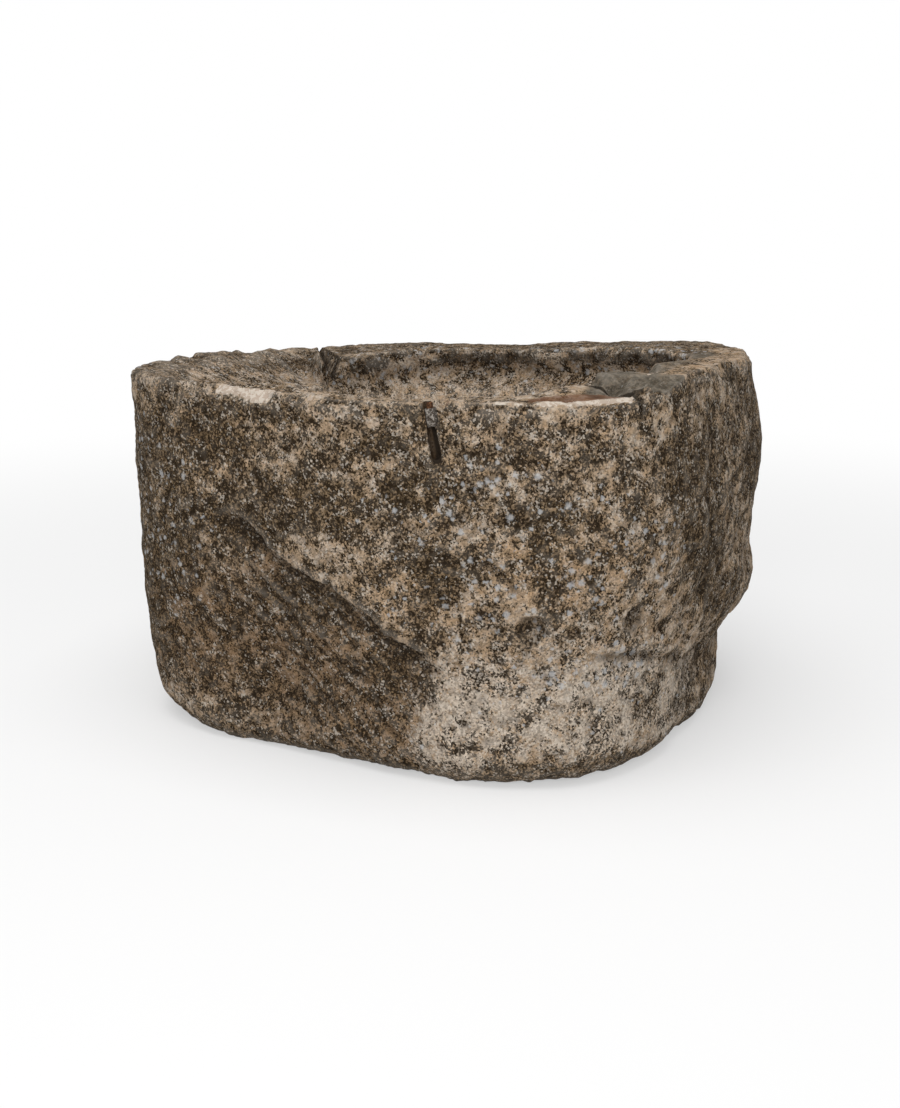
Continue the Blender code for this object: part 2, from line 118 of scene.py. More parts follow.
# The pin hole and what is set in it, as in the solid
HOLE_X = 0.139
HOLE_DIAMETER = 0.018
HOLE_LENGTH = 0.086
HOLE_INSET = 0.011
HOLE_LEAN = 10.0
SPLIT_WIDTH = 0.015
BREACH_WIDTH = 0.028
BREACH_DROP = 0.04
BREACH_HEADING = 24.0
BREACH_FALL = 9.0
LEAD_DROP = 0.011
LEAD_LENGTH = 0.026
LEAD_FRONT = 0.0072
PIN_DIAMETER = 0.011
PIN_DROP = 0.002
PIN_LENGTH = 0.03
FIT = 0.0005  # play between the pin, the lead and the stone
CUTTER_REACH = 0.06

# Fineness of the block's surface. Its columns stand closest at the front right, which the camera sees.
COLUMNS = 500
BUSIEST = 285.0
CROWDING = 0.42
UNDER_ROWS = 7
WALL_ROWS = 104
EDGE_ROWS = 5
RIM_ROWS = 15
BASIN_ROWS = 44
FLOOR_RINGS = 9

# Broken and worn forms of the outer face, as (angle, height) points along each line
CREASE = {
    "line": ((244.0, 0.385), (255.0, 0.322), (262.0, 0.296), (270.0, 0.268), (278.0, 0.236), (288.0, 0.186)),
    "depth": 0.011, "step": 0.02, "fade": 0.12, "ends": 14.0,
}
LEDGE = {
    "line": ((318.0, 0.21), (328.0, 0.2), (340.0, 0.172), (352.0, 0.15), (370.0, 0.158), (400.0, 0.15)),
    "depth": 0.007, "step": 0.01, "fade": 0.05, "ends": 8.0,
}
LUMP_ANGLES = (156.0, 205.0)
LUMP_HEIGHT = 0.008
LUMP_REACH = 0.08  # how far they go down into the basin
# The lumpy mass at the left ends in a break, at these angles on the rim's outer and inner edges
BREAK_ANGLES = (145.2, 163.8)
BREAK_ROUND = 3.0
BREAK_RECESS = 0.024  # the basin's wall stands back this much past the break
BREAK_FADE = 26.0
WORN_FALL = 0.048  # from there to the front left the rim falls this much towards the basin
WORN_FADE = (215.0, 242.0)
FALL_START = 0.13
# The front wall's inner edge stands up beside the cleft
CREST = {"middle": 316.5, "breadth": 7.0, "rise": 0.009}

SHELL_INSET = 0.002  # the rough surface is centred this far inside the nominal form
BOX_EASE = 0.005  # within this of the solid's box, relief is squeezed so that it stays inside


def survey(values, angle):
    """A closed smooth curve through evenly spaced values: a Catmull-Rom spline round the compass."""
    values = np.asarray(values)
    place = np.mod(angle, 360.0) * len(values) / 360.0
    first = np.floor(place).astype(int)
    t = place - first
    before, start, end, after = (values[(first + k) % len(values)] for k in (-1, 0, 1, 2))
    bend = (2 * before - 5 * start + 4 * end - after) * t**2 + (3 * start - before - 3 * end + after) * t**3
    return start + 0.5 * ((end - before) * t + bend)


def superellipse(angle, length, depth, squareness):
    """Distance from the centre to a superellipse of that length and depth, at an angle in degrees."""
    turn = np.radians(angle)
    along = np.abs(np.cos(turn) / (length / 2)) ** squareness
    across = np.abs(np.sin(turn) / (depth / 2)) ** squareness
    return (along + across) ** (-1 / squareness)


def smooth(share):
    """Eases from 0 to 1 with level ends."""
    share = np.clip(share, 0.0, 1.0)
    return share * share * (3 - 2 * share)


def turn_between(angle, other):
    """Signed degrees from other to angle, the short way round."""
    return np.mod(angle - other + 180.0, 360.0) - 180.0


def near(value, middle, breadth, reach):
    """1 about a middle value, easing to 0 at reach breadths from it."""
    return smooth(reach - np.abs(value - middle) / breadth)


def in_sector(angle, middle, breadth, reach):
    """1 about a direction in plan, easing to 0 at reach breadths to either side of it."""
    return near(turn_between(angle, middle), 0.0, breadth, reach)


def past(value, start, width):
    """0 up to a start value, easing to 1 over a width."""
    return smooth((value - start) / width)


def swelling(angle, height, middle, level, breadth, rise, depth):
    """Outward push of one hollow or swelling: a bell in angle times a bell in height."""
    around = turn_between(angle, middle) / breadth
    upward = (height - level) / rise
    return -depth * np.exp(-(around**2) - upward**2)


def rim_height(angle):
    """The rim wanders, and steps up at the corner cleft from the front wall to the corner block."""
    past = turn_between(angle, CORNER_CLEFT["angle"])
    step = smooth(past / CORNER_RAMP + 0.5) * (1.0 - smooth(past / CORNER_FADE))
    return BLOCK_HEIGHT - survey(RIM_DROP, angle) + CORNER_RISE * step


def outer_radius(angle, height):
    """Plan distance of the outer face: the nominal plan, its stray from heel to rim, swellings and steps."""
    strays = (FOOT_STRAY, HEEL_STRAY, BELLY_STRAY, RIM_STRAY)
    foot, heel, belly, rim = (survey(stray, angle) for stray in strays)
    stray = heel + (belly - heel) * smooth((height - HEEL_HEIGHT) / (BELLY_HEIGHT - HEEL_HEIGHT))
    stray = stray + (rim - belly) * smooth((height - BELLY_HEIGHT) / (BLOCK_HEIGHT - BELLY_HEIGHT))
    for feature in (SCOOP, RIGHT_UNDERCUT, RIGHT_SWELL, LEFT_HEEL):
        stray = stray + swelling(angle, height, **feature)
    for feature in (CREASE, LEDGE):
        stray = stray - step_back(angle, height, **feature)
    roll = 1.0 - np.clip(height / HEEL_ROUND, 0.0, 1.0)
    stray = stray + (foot - heel) * (1.0 - np.sqrt(1.0 - roll**2))
    return superellipse(angle, BLOCK_LENGTH, BLOCK_DEPTH, BLOCK_SQUARENESS) + stray


def basin_mouth(angle):
    """Plan distance of the basin's mouth from its own centre. It stands back beyond the lumps' break."""
    length = BLOCK_LENGTH - LEFT_WALL - RIGHT_WALL
    depth = BLOCK_DEPTH - FRONT_WALL - BACK_WALL
    beyond = turn_between(BREAK_ANGLES[1], angle)
    stand_back = BREAK_RECESS * smooth(beyond / BREAK_ROUND + 0.5) * (1.0 - smooth(beyond / BREAK_FADE))
    mouth = superellipse(angle, length, depth, BASIN_SQUARENESS) + survey(BASIN_STRAY, angle)
    return mouth + stand_back


def rim_fall(angle, across):
    """How far the rim lies below its outer edge: worn at the left, and up to a crest beside the cleft."""
    outer, inner = BREAK_ANGLES
    past_break = smooth(turn_between(angle, outer + (inner - outer) * across) / BREAK_ROUND + 0.5)
    start, end = WORN_FADE
    worn = WORN_FALL * past_break * (1.0 - smooth(turn_between(angle, start) / (end - start)))
    crest = CREST["rise"] * np.exp(-((turn_between(angle, CREST["middle"]) / CREST["breadth"]) ** 2))
    return (worn - crest) * smooth((across - FALL_START) / (1.0 - FALL_START))


def spread(radius, angle, height, centre=(0.0, 0.0)):
    """Points at a plan distance and angle from a centre, as rows by columns by 3."""
    turn = np.radians(angle)
    radius, turn, height = np.broadcast_arrays(radius, turn, height)
    return np.stack([centre[0] + radius * np.cos(turn), centre[1] + radius * np.sin(turn), height], axis=-1)


def column_angles():
    """Even steps round the plan, less a sine that draws them together at the busiest angle."""
    t = np.arange(COLUMNS) / COLUMNS
    return 360.0 * t - CROWDING * 180.0 / math.pi * np.sin(2 * math.pi * t - math.radians(BUSIEST))


def steps(count):
    """Shares 1/count to 1, as a column."""
    return (np.arange(1, count + 1) / count)[:, None]


def basin_wall(angle, mouth, top):
    """Rows down the basin: the lip, the hollow below it, the battered slope and the round to the floor."""
    straight = 0.75
    share = steps(BASIN_ROWS)
    fillet_top = FLOOR_THICKNESS + BASIN_FILLET
    height = top + (fillet_top - top) * np.minimum(share / straight, 1.0) ** 1.2
    drop = top - height
    past_lip = np.clip((drop - LIP_DEPTH) / (top - fillet_top - LIP_DEPTH), 0.0, 1.0)
    upward = (drop - LIP_DEPTH) / LIP_SPREAD
    around = turn_between(angle, LIP_ANGLE) / LIP_REACH
    inset = BASIN_BATTER * past_lip**0.8 - LIP_RECESS * np.exp(-(upward**2) - around**4)
    turn = 0.5 * math.pi * np.maximum(share - straight, 0.0) / (1 - straight)
    inset = inset + BASIN_FILLET * (1 - np.cos(turn))
    return spread(mouth - inset, angle, height - BASIN_FILLET * np.sin(turn), BASIN_CENTRE)


def nominal_block(angle):
    """The block's surface as one grid: under the foot, up the outer face, over the rim and down the basin."""
    top, fall = rim_height(angle), rim_fall(angle, 1.0)
    outer, mouth = outer_radius(angle, top), basin_mouth(angle)
    under = spread(outer_radius(angle, 0.0) * steps(UNDER_ROWS), angle, 0.0)
    height = (top - ARRIS_ROUND) * steps(WALL_ROWS) ** 1.08
    wall = spread(outer_radius(angle, height), angle, height)
    turn = 0.5 * math.pi * steps(EDGE_ROWS)
    back, up = ARRIS_ROUND * (1 - np.cos(turn)), ARRIS_ROUND * np.sin(turn)
    outer_arris = spread(outer - back, angle, top - ARRIS_ROUND + up)
    outside = spread(outer - ARRIS_ROUND, angle, top)
    inside = spread(mouth + ARRIS_ROUND, angle, top, BASIN_CENTRE)
    across = steps(RIM_ROWS)
    rim = outside + (inside - outside) * across[..., None]
    rim[..., 2] -= rim_fall(angle, across)
    over, down = ARRIS_ROUND * (1 - np.sin(turn)), ARRIS_ROUND * (1 - np.cos(turn))
    inner_arris = spread(mouth + over, angle, top - fall - down, BASIN_CENTRE)
    basin = basin_wall(angle, mouth, top - fall - ARRIS_ROUND)
    share = 1 - steps(FLOOR_RINGS) * FLOOR_RINGS / (FLOOR_RINGS + 1)
    edge = mouth - BASIN_BATTER - BASIN_FILLET
    floor = spread(edge * share, angle, FLOOR_THICKNESS - FLOOR_FALL * (1 - share**2), BASIN_CENTRE)
    return np.concatenate([under, wall, outer_arris, rim, inner_arris, basin, floor])


def gradient_noise(points, size, seed):
    """Smooth noise of about -1 to 1: each lattice corner holds a random slope, and the slopes are blended."""
    draw = np.random.default_rng(seed)
    shuffle = draw.permutation(256)
    slopes = draw.normal(size=(256, 3))
    slopes /= np.linalg.norm(slopes, axis=1)[:, None]
    place = points / size
    cell = np.floor(place).astype(int)
    part = place - cell
    fade = part**3 * (part * (part * 6 - 15) + 10)
    total = np.zeros(points.shape[:-1])
    for corner in itertools.product((0, 1), repeat=3):
        x, y, z = (cell[..., k] + corner[k] & 255 for k in range(3))
        index = shuffle[(shuffle[(shuffle[x] + y) & 255] + z) & 255]
        weight = np.prod(np.where(corner, fade, 1 - fade), axis=-1)
        total += weight * np.sum(slopes[index] * (part - corner), axis=-1)
    return 1.5 * total


def fractal(points, size, seed, octaves=3, gain=0.5):
    """Gradient noises added up, each half the size and gain times the height of the one before."""
    return sum(gain**k * gradient_noise(points, size / 2**k, seed + k) for k in range(octaves))


def pitting(points, size, seed, cover):
    """Round pits, 1 at each pit's middle: a random point in some lattice cells, and a bowl about it."""
    draw = np.random.default_rng(seed)
    shuffle = draw.permutation(256)
    jitter = draw.random((256, 3))
    present = draw.random(256) < cover
    radius = draw.uniform(0.25, 0.6, 256)
    place = points / size
    cell = np.floor(place).astype(int)
    deepest = np.zeros(points.shape[:-1])
    for corner in itertools.product((-1, 0, 1), repeat=3):
        there = cell + corner
        x, y, z = (there[..., k] & 255 for k in range(3))
        index = shuffle[(shuffle[(shuffle[x] + y) & 255] + z) & 255]
        away = np.linalg.norm(there + jitter[index] - place, axis=-1) / radius[index]
        deepest = np.maximum(deepest, present[index] * smooth(1.0 - away))
    return deepest


def grid_normals(points):
    """Unit normals of a grid whose columns run round: the step along the row crossed with the step up."""
    along = np.roll(points, -1, axis=1) - np.roll(points, 1, axis=1)
    normals = np.cross(along, np.gradient(points, axis=0))
    return normals / (np.linalg.norm(normals, axis=-1, keepdims=True) + 1e-12)


def below_line(line, angle, height, step, fade, ends):
    """1 just below a line of (angle, height) points, 0 above it, dying away downwards and near its ends."""
    angles, heights = np.array(line).T
    turned = angles[0] + np.mod(angle - angles[0] + 90.0, 360.0) - 90.0
    drop = np.interp(turned, angles, heights) - height
    along = smooth((turned - angles[0]) / ends + 0.5) * smooth((angles[-1] - turned) / ends + 0.5)
    return along * smooth(drop / step + 0.5) * np.exp(-np.maximum(drop, 0.0) / fade)


def below_crease(angle, height, step, fade):
    """1 just below the crease over the scoop, dying away downwards and near its ends."""
    return below_line(CREASE["line"], angle, height, step, fade, CREASE["ends"])


def step_back(angle, height, line, depth, step, fade, ends):
    """How far the outer face stands back below one stepped line."""
    return depth * below_line(line, angle, height, step, fade, ends)


def facing(normals, axis, low, high):
    """0 where the surface faces less than low along an axis, 1 from high on."""
    return past(normals[..., axis], low, high - low)


# Noises of the rough surface: height in metres, size, seed, octaves and gain
RELIEF = {
    "swells": (0.0045, 0.15, 21, 2), "dressing": (0.0022, 0.05, 24, 3, 0.6),
    "grain": (0.0009, 0.011, 51, 2, 0.7), "tooling": (0.004, 0.013, 61, 2, 0.6),
    "fray": (0.014, 0.045, 65, 3, 0.6), "waves": (0.02, 0.11, 66, 2), "ripples": (0.01, 0.03, 67, 2),
    "right": (0.005, 0.06, 71, 2), "basin": (0.0032, 0.04, 91, 4, 0.6),
    "right_end": (0.0032, 0.055, 95, 3, 0.55),
}
PITS = ((0.004, 0.03, 41, 0.3), (0.0022, 0.013, 42, 0.35))  # depth, size, seed and cover
DENT_DEPTH = 0.003
FRAY_DEPTH = 0.004
EDGE_WEAR = 0.006
TOOLING_SLANT = -38.0
TOOLING_STRETCH = 7.0
# Sectors of the plan: middle, breadth and reach
CALM_SECTOR = (350.0, 50.0, 1.6)
RIGHT_SECTOR = (5.0, 55.0, 1.0)
RIGHT_END_SECTOR = (356.0, 26.0, 1.5)


def layer(points, name, mask=1.0):
    """One noise of the rough surface, in metres, where a mask lets it through."""
    height, *shape = RELIEF[name]
    return mask * height * fractal(points, *shape)


def relief(points, normals):
    """Height of the rough surface over the nominal one: dressing, pits, tooling, crease, ledge and lumps."""
    x, y, z = (points[..., k] for k in range(3))
    angle = np.degrees(np.arctan2(y, x))
    from_rim = rim_height(angle) - z
    face = (np.hypot(x, y) > outer_radius(angle, z) - 0.03) & (from_rim > 0)
    face = face * smooth(from_rim / 0.02) * (1.0 - facing(-normals, 2, 0.7, 0.95))
    level = facing(normals, 2, 0.5, 0.9)
    rim = level * smooth(1.5 - from_rim / 0.03)
    basin = 1.0 - np.clip(face + rim, 0.0, 1.0)

    warp = 0.02 * np.stack([fractal(points, 0.09, seed, 2) for seed in (11, 12, 13)], axis=-1)
    bent = points + warp
    calm = rim * in_sector(angle, *CALM_SECTOR)
    height = (layer(bent, "swells") + layer(bent, "dressing")) * (1.0 - 0.75 * calm)
    height = height - DENT_DEPTH * smooth(fractal(bent, 0.022, 31, 2) - 0.25) * (face + 0.7 * rim)
    for (depth, size, seed, cover), where in zip(PITS, (face, 1.0)):
        height = height - depth * pitting(bent, size, seed, cover) * where
    height = height + layer(points, "grain")

    arc = np.radians(turn_between(angle, 260.0)) * np.hypot(x, y)
    scoop = below_crease(angle, z, CREASE["step"], 1.0) * face
    scoop = scoop * smooth(turn_between(angle, 205.0) / 20.0)
    slant = math.radians(TOOLING_SLANT)
    along = arc * math.cos(slant) + z * math.sin(slant)
    across = z * math.cos(slant) - arc * math.sin(slant)
    tooled = np.stack([along / TOOLING_STRETCH, across, 0.3 * y], axis=-1)
    height = height + layer(tooled + 0.3 * warp, "tooling", scoop)
    frayed = z + layer(points, "fray")
    height = height - FRAY_DEPTH * below_crease(angle, frayed, 0.006, 0.06) * face
    wavy = z + layer(points, "waves") + layer(points, "ripples")
    straight, crooked = (below_crease(angle, at, CREASE["step"], CREASE["fade"]) for at in (z, wavy))
    height = height + CREASE["depth"] * (straight - crooked) * face

    right = in_sector(angle, *RIGHT_SECTOR) * face
    height = height + layer(bent * (1.0, 1.0, 0.6), "right", right)
    first, last = LUMP_ANGLES
    lumpy = smooth(turn_between(angle, first) / 6.0) * smooth(turn_between(last, angle) / 15.0)
    on_top = rim + basin * smooth(1.0 - from_rim / LUMP_REACH)
    height = height + LUMP_HEIGHT * lumpy * on_top * fractal(bent, 0.045, 81, 2)
    height = height + layer(bent, "basin", basin)
    height = height + layer(bent, "right_end", in_sector(angle, *RIGHT_END_SECTOR) * face)
    near_edge = np.exp(-((from_rim - 0.004) / 0.012) ** 2) * (1.0 - level * 0.6)
    height = height - EDGE_WEAR * near_edge * smooth(fractal(bent, 0.036, 95, 2) * 1.6)
    return height - SHELL_INSET


def unit(vector):
    """A vector of length 1."""
    return np.array(vector) / np.linalg.norm(vector)


def over_break(points, middle, normal, depth, reach):
    """Height over a slightly uneven broken face laid depth under its middle, and nearness to that middle."""
    over = (points - np.array(middle)) @ normal + depth + 0.0014 * fractal(points, 0.02, 97, 2)
    ragged = 0.12 * fractal(points, 0.014, 98, 2)
    near_middle = 1.0 - np.linalg.norm(points - np.array(middle), axis=-1) / reach + ragged
    return over, smooth(near_middle / FLAKE_EASE)


def chip(points, middle, normal, depth, reach):
    """Planes off what stands over a broken face, within reach of its middle."""
    normal = unit(normal)
    over, close = over_break(points, middle, normal, depth, reach)
    return points - normal * (np.maximum(over, 0.0) * close)[..., None]


def on_break(points, middle, normal, depth, reach):
    """1 for points that lie on a broken face."""
    over, close = over_break(points, middle, unit(normal), depth, reach)
    return close * (1.0 - smooth(np.abs(over) / 0.002 - 0.6))


def inside_box(points, box):
    """Squeezes what comes within BOX_EASE of the box's sides, so that nothing reaches past them."""
    for axis in (0, 1, 2):
        for sign, wall in ((-1, box[0][axis]), (1, box[1][axis])):
            if axis == 2 and sign == -1:
                continue
            past = sign * (points[..., axis] - wall) + BOX_EASE
            eased = BOX_EASE * (1.0 - np.exp(-np.maximum(past, 0.0) / BOX_EASE))
            points[..., axis] -= sign * (np.maximum(past, 0.0) - eased)
    return points


def grid_mesh(name, rows, first, last):
    """A closed mesh object over a grid whose columns run round, shut by a fan to a first and a last point."""
    height, width = rows.shape[:2]
    vertices = np.concatenate([rows.reshape(-1, 3), [first, last]])
    index = np.arange(height * width).reshape(height, width)
    beside = np.roll(index, -1, axis=1)
    quads = np.stack([index[:-1], beside[:-1], beside[1:], index[1:]], axis=-1).reshape(-1, 4)
    pole = np.full(width, height * width)
    sides = ((pole, beside[0], index[0]), (pole + 1, index[-1], beside[-1]))
    fans = np.concatenate([np.stack(side, axis=1) for side in sides])
    corners = np.concatenate([quads.ravel(), fans.ravel()])
    starts = np.concatenate([np.arange(len(quads)) * 4, quads.size + np.arange(len(fans)) * 3])
    mesh = bpy.data.meshes.new(name)
    mesh.vertices.add(len(vertices))
    mesh.vertices.foreach_set("co", vertices.ravel())
    mesh.loops.add(len(corners))
    mesh.loops.foreach_set("vertex_index", corners)
    mesh.polygons.add(len(starts))
    mesh.polygons.foreach_set("loop_start", starts)
    mesh.update(calc_edges=True)
    mesh.shade_smooth()
    piece = bpy.data.objects.new(name, mesh)
    bpy.context.scene.collection.objects.link(piece)
    return piece


def placed(points, place):
    """Points moved by a 4 by 4 matrix."""
    place = np.array(place)
    return points @ place[:3, :3].T + place[:3, 3]


def roughened(points, amount, size, seed):
    """Points pushed about by three noises, one along each axis."""
    push = np.stack([fractal(points, size, seed + 10 * k, 2) for k in range(3)], axis=-1)
    return points + amount * push


def front_face(x, height):
    """Y of the outer face at that X and height, near the front."""
    angle = np.array([270.0])
    for _ in range(20):
        radius = outer_radius(angle, height)
        angle = 360.0 - np.degrees(np.arccos(x / radius))
    return float(radius[0] * math.sin(math.radians(angle[0])))


def hole_place():
    """The drilled hole's frame: its origin at the rim on the hole's axis, its +Z out along the hole."""
    face = front_face(HOLE_X, BLOCK_HEIGHT - HOLE_LENGTH)
    angle = math.degrees(math.atan2(face, HOLE_X))
    top = float(rim_height(np.array([angle]))[0])
    place = Matrix.Translation((HOLE_X, face + HOLE_INSET, top))
    return place @ Matrix.Rotation(-math.radians(HOLE_LEAN), 4, "Y")


def outline_points(outline, step):
    """A closed outline of (x, z) corners with points added along its sides."""
    corners = np.array(outline)
    sides = []
    for start, end in zip(corners, np.roll(corners, -1, axis=0)):
        count = max(1, round(float(np.linalg.norm(end - start)) / step))
        sides.append(start + (end - start) * (np.arange(count) / count)[:, None])
    return np.concatenate(sides)


def rough_prism(name, outline, y_from, y_to, place, rough, seed):
    """A cutter: an outline carried along Y, its surface pushed about by noise, closed at both ends."""
    around = outline_points(outline, 0.004)
    depths = np.arange(y_to, y_from - 0.001, -0.004)
    rows = np.empty((len(depths), len(around), 3))
    rows[..., 0], rows[..., 1], rows[..., 2] = around[:, 0], depths[:, None], around[:, 1]
    middle = around.mean(axis=0)
    rows = roughened(placed(rows, place), rough, 0.012, seed)
    ends = placed(np.array([[middle[0], depths[0], middle[1]], [middle[0], depths[-1], middle[1]]]), place)
    return grid_mesh(name, rows, *ends)


def rough_bore(place):
    """The drilled hole's cutter: a tube with a round bottom, its wall slightly uneven."""
    radius = HOLE_DIAMETER / 2
    bowl = np.radians(np.arange(10, 91, 10))
    bottom = -HOLE_LENGTH + radius - radius * np.cos(bowl)
    depth = np.concatenate([bottom, np.arange(-0.074, CUTTER_REACH, 0.004)])
    width = np.concatenate([radius * np.sin(bowl), np.full(len(depth) - len(bowl), radius)])
    rows = spread(width[:, None], np.arange(0, 360, 10), depth[:, None])
    ends = placed(np.array([[0.0, 0.0, -HOLE_LENGTH], [0.0, 0.0, depth[-1]]]), place)
    return grid_mesh("bore_cutter", roughened(placed(rows, place), 0.0005, 0.012, 101), *ends)


def cleft_place(angle, turn, fall, **sizes):
    """A cleft's frame: its origin at the rim's outer edge, its +Y inwards along the cleft."""
    there = np.array([angle])
    edge = spread(outer_radius(there, BLOCK_HEIGHT), there, rim_height(there))[0]
    heading = Matrix.Rotation(math.radians(angle + 90.0 + turn), 4, "Z")
    return Matrix.Translation(edge) @ heading @ Matrix.Rotation(-math.radians(fall), 4, "X")


def cleft_cutter(name, seed, cleft):
    """A rough wedge through the rim, from outside the outer face towards the basin."""
    drop = cleft["drop"]
    half = cleft["width"] / drop / 2 * (drop + CUTTER_REACH)
    outline = [(0.0, -drop), (half, CUTTER_REACH), (-half, CUTTER_REACH)]
    there = np.array([cleft["angle"]])
    inner = cleft.get("reach", float(outer_radius(there, BLOCK_HEIGHT)[0]))
    return rough_prism(name, outline, -CUTTER_REACH, inner, cleft_place(**cleft), 0.0022, seed)


def in_frame(points, place):
    """Points in the coordinates of a frame."""
    return (points - np.array(place.translation)) @ np.array(place.to_3x3())


def carve(piece, cutters):
    """Cuts rough closed cutters out of a piece and keeps the result as its mesh."""
    for cutter in cutters:
        modifier = piece.modifiers.new(cutter.name, "BOOLEAN")
        modifier.operation = "DIFFERENCE"
        modifier.solver = "MANIFOLD"
        modifier.object = cutter
    graph = bpy.context.evaluated_depsgraph_get()
    carved = bpy.data.meshes.new_from_object(piece.evaluated_get(graph))
    piece.modifiers.clear()
    piece.data = carved
    for cutter in cutters:
        bpy.data.objects.remove(cutter)


def pin_hole_cutters():
    """The bore, the channel where the face burst off before it, and the V broken through on its right."""
    place = hole_place()
    half = SPLIT_WIDTH / 2
    foot = half - HOLE_LENGTH + (HOLE_DIAMETER - SPLIT_WIDTH) / 2
    arc = [(half * math.cos(t), foot + half * math.sin(t)) for t in np.linspace(-math.pi, 0.0, 9)]
    channel = [*arc, (half, CUTTER_REACH), (-half, CUTTER_REACH)]
    height = BREACH_DROP + CUTTER_REACH
    wedge = [(0.0, 0.0), (BREACH_WIDTH * height / BREACH_DROP, height), (0.0, height)]
    tip = Matrix.Translation((half - 0.001, -HOLE_INSET, -BREACH_DROP))
    heading = Matrix.Rotation(math.radians(BREACH_HEADING), 4, "Z")
    breach = place @ tip @ heading @ Matrix.Rotation(-math.radians(BREACH_FALL), 4, "X")
    return [
        rough_bore(place),
        rough_prism("split_cutter", channel, -HOLE_INSET - CUTTER_REACH, 0.0, place, 0.0006, 111),
        rough_prism("breach_cutter", wedge, -CUTTER_REACH, FRONT_WALL + CUTTER_REACH, breach, 0.0016, 121),
    ]


# Flakes off the rim's outer arris: angle, reach, depth, upward tilt of the broken face, how fresh it is
FLAKES = (
    (243.6, 0.026, 0.01, 52.0, 1.0), (247.6, 0.026, 0.0115, 36.0, 1.0), (251.6, 0.03, 0.013, 44.0, 1.0),
    (264.0, 0.011, 0.0085, 45.0, 1.0), (303.0, 0.05, 0.007, 50.0, 0.5), (310.0, 0.05, 0.008, 50.0, 0.8),
    (317.0, 0.05, 0.009, 52.0, 1.0), (322.5, 0.036, 0.01, 50.0, 1.0), (345.0, 0.06, 0.01, 35.0, 0.0),
    (2.0, 0.07, 0.012, 30.0, 0.0), (28.0, 0.07, 0.012, 45.0, 0.0), (66.0, 0.08, 0.013, 40.0, 0.0),
    (113.0, 0.09, 0.015, 40.0, 0.0), (165.0, 0.09, 0.015, 45.0, 0.0), (196.0, 0.07, 0.011, 40.0, 0.0),
)
FLAKE_EASE = 0.25  # share of the reach over which a broken face dies out
# Breaks elsewhere: a point, the broken face's normal, depth and reach. The first three are on the corner.
BREAKS = (
    ((0.412, -0.205, 0.606), (0.12, -0.34, 0.94), 0.01, 0.062),
    ((0.383, -0.24, 0.604), (-0.5, -0.35, 0.8), 0.011, 0.052),
    ((0.372, -0.11, 0.606), (-0.7, -0.2, 0.68), 0.01, 0.06),
    ((0.286, -0.378, 0.25), (0.45, -0.88, 0.1), 0.007, 0.026),
    ((0.41, -0.272, 0.25), (0.8, -0.55, 0.15), 0.006, 0.024),
)


def flake_plane(angle, tilt):
    """A point on the rim's outer corner, and the direction out of the block there, turned up by tilt."""
    about = np.array([angle - 0.5, angle, angle + 0.5])
    edge = spread(outer_radius(about, BLOCK_HEIGHT), about, rim_height(about))
    along = edge[2] - edge[0]
    outward = np.array([along[1], -along[0], 0.0]) / np.hypot(along[0], along[1])
    lift = math.radians(tilt)
    return edge[1], outward * math.cos(lift) + np.array([0.0, 0.0, math.sin(lift)])


def make_block():
    """The weathered block: the nominal surface pushed along its normals by the relief, chipped and carved."""
    angle = column_angles()
    points = nominal_block(angle)
    normals = grid_normals(points)
    sunk = relief(points, normals)
    sunk[:UNDER_ROWS] *= 0.0
    points = points + normals * sunk[..., None]
    for angle_there, reach, depth, tilt, _ in FLAKES:
        points = chip(points, *flake_plane(angle_there, tilt), depth, reach)
    for broken in BREAKS:
        points = chip(points, *broken)
    points[..., 2] = np.maximum(points[..., 2], 0.0)
    points = inside_box(points, CAD_BOX)
    floor = (*BASIN_CENTRE, float(points[-1, :, 2].mean()))
    block = grid_mesh("weathered_block", points, (0.0, 0.0, 0.0), floor)
    clefts = [
        cleft_cutter("corner_cleft_cutter", 131, CORNER_CLEFT),
        cleft_cutter("back_cleft_cutter", 141, BACK_CLEFT),
    ]
    carve(block, pin_hole_cutters() + clefts)
    block.data.shade_smooth()
    block.data.set_sharp_from_angle(angle=math.radians(60.0))
    return block


def vertex_arrays(mesh):
    """A mesh's points and normals as arrays."""
    arrays = np.empty((2, len(mesh.vertices) * 3))
    for values, what in zip(arrays, ("co", "normal")):
        mesh.vertices.foreach_get(what, values)
    return arrays.reshape(2, -1, 3)


def hollowness(mesh, points, normals, passes):
    """How far each point lies below the mean of its neighbours, smoothed by further passes of that mean."""
    ends = np.empty(len(mesh.edges) * 2, int)
    mesh.edges.foreach_get("vertices", ends)
    a, b = ends.reshape(-1, 2).T
    to, source = np.concatenate([a, b]), np.concatenate([b, a])
    count = np.maximum(np.bincount(to, minlength=len(points)), 1)

    def neighbour_mean(values):
        return np.bincount(to, weights=values[source], minlength=len(points)) / count

    around = np.stack([neighbour_mean(points[:, k]) for k in range(3)], axis=1)
    hollow = np.sum((around - points) * normals, axis=1)
    for _ in range(passes):
        hollow = 0.5 * hollow + 0.5 * neighbour_mean(hollow)
    return hollow


def zone(angle, height, zones):
    """1 inside any oval of (angle, height, breadth in degrees, rise), easing to 0 outside it."""
    inside = np.zeros(len(angle))
    for middle, level, breadth, rise in zones:
        away = np.hypot(turn_between(angle, middle) / breadth, (height - level) / rise)
        inside = np.maximum(inside, smooth(1.6 - away))
    return inside


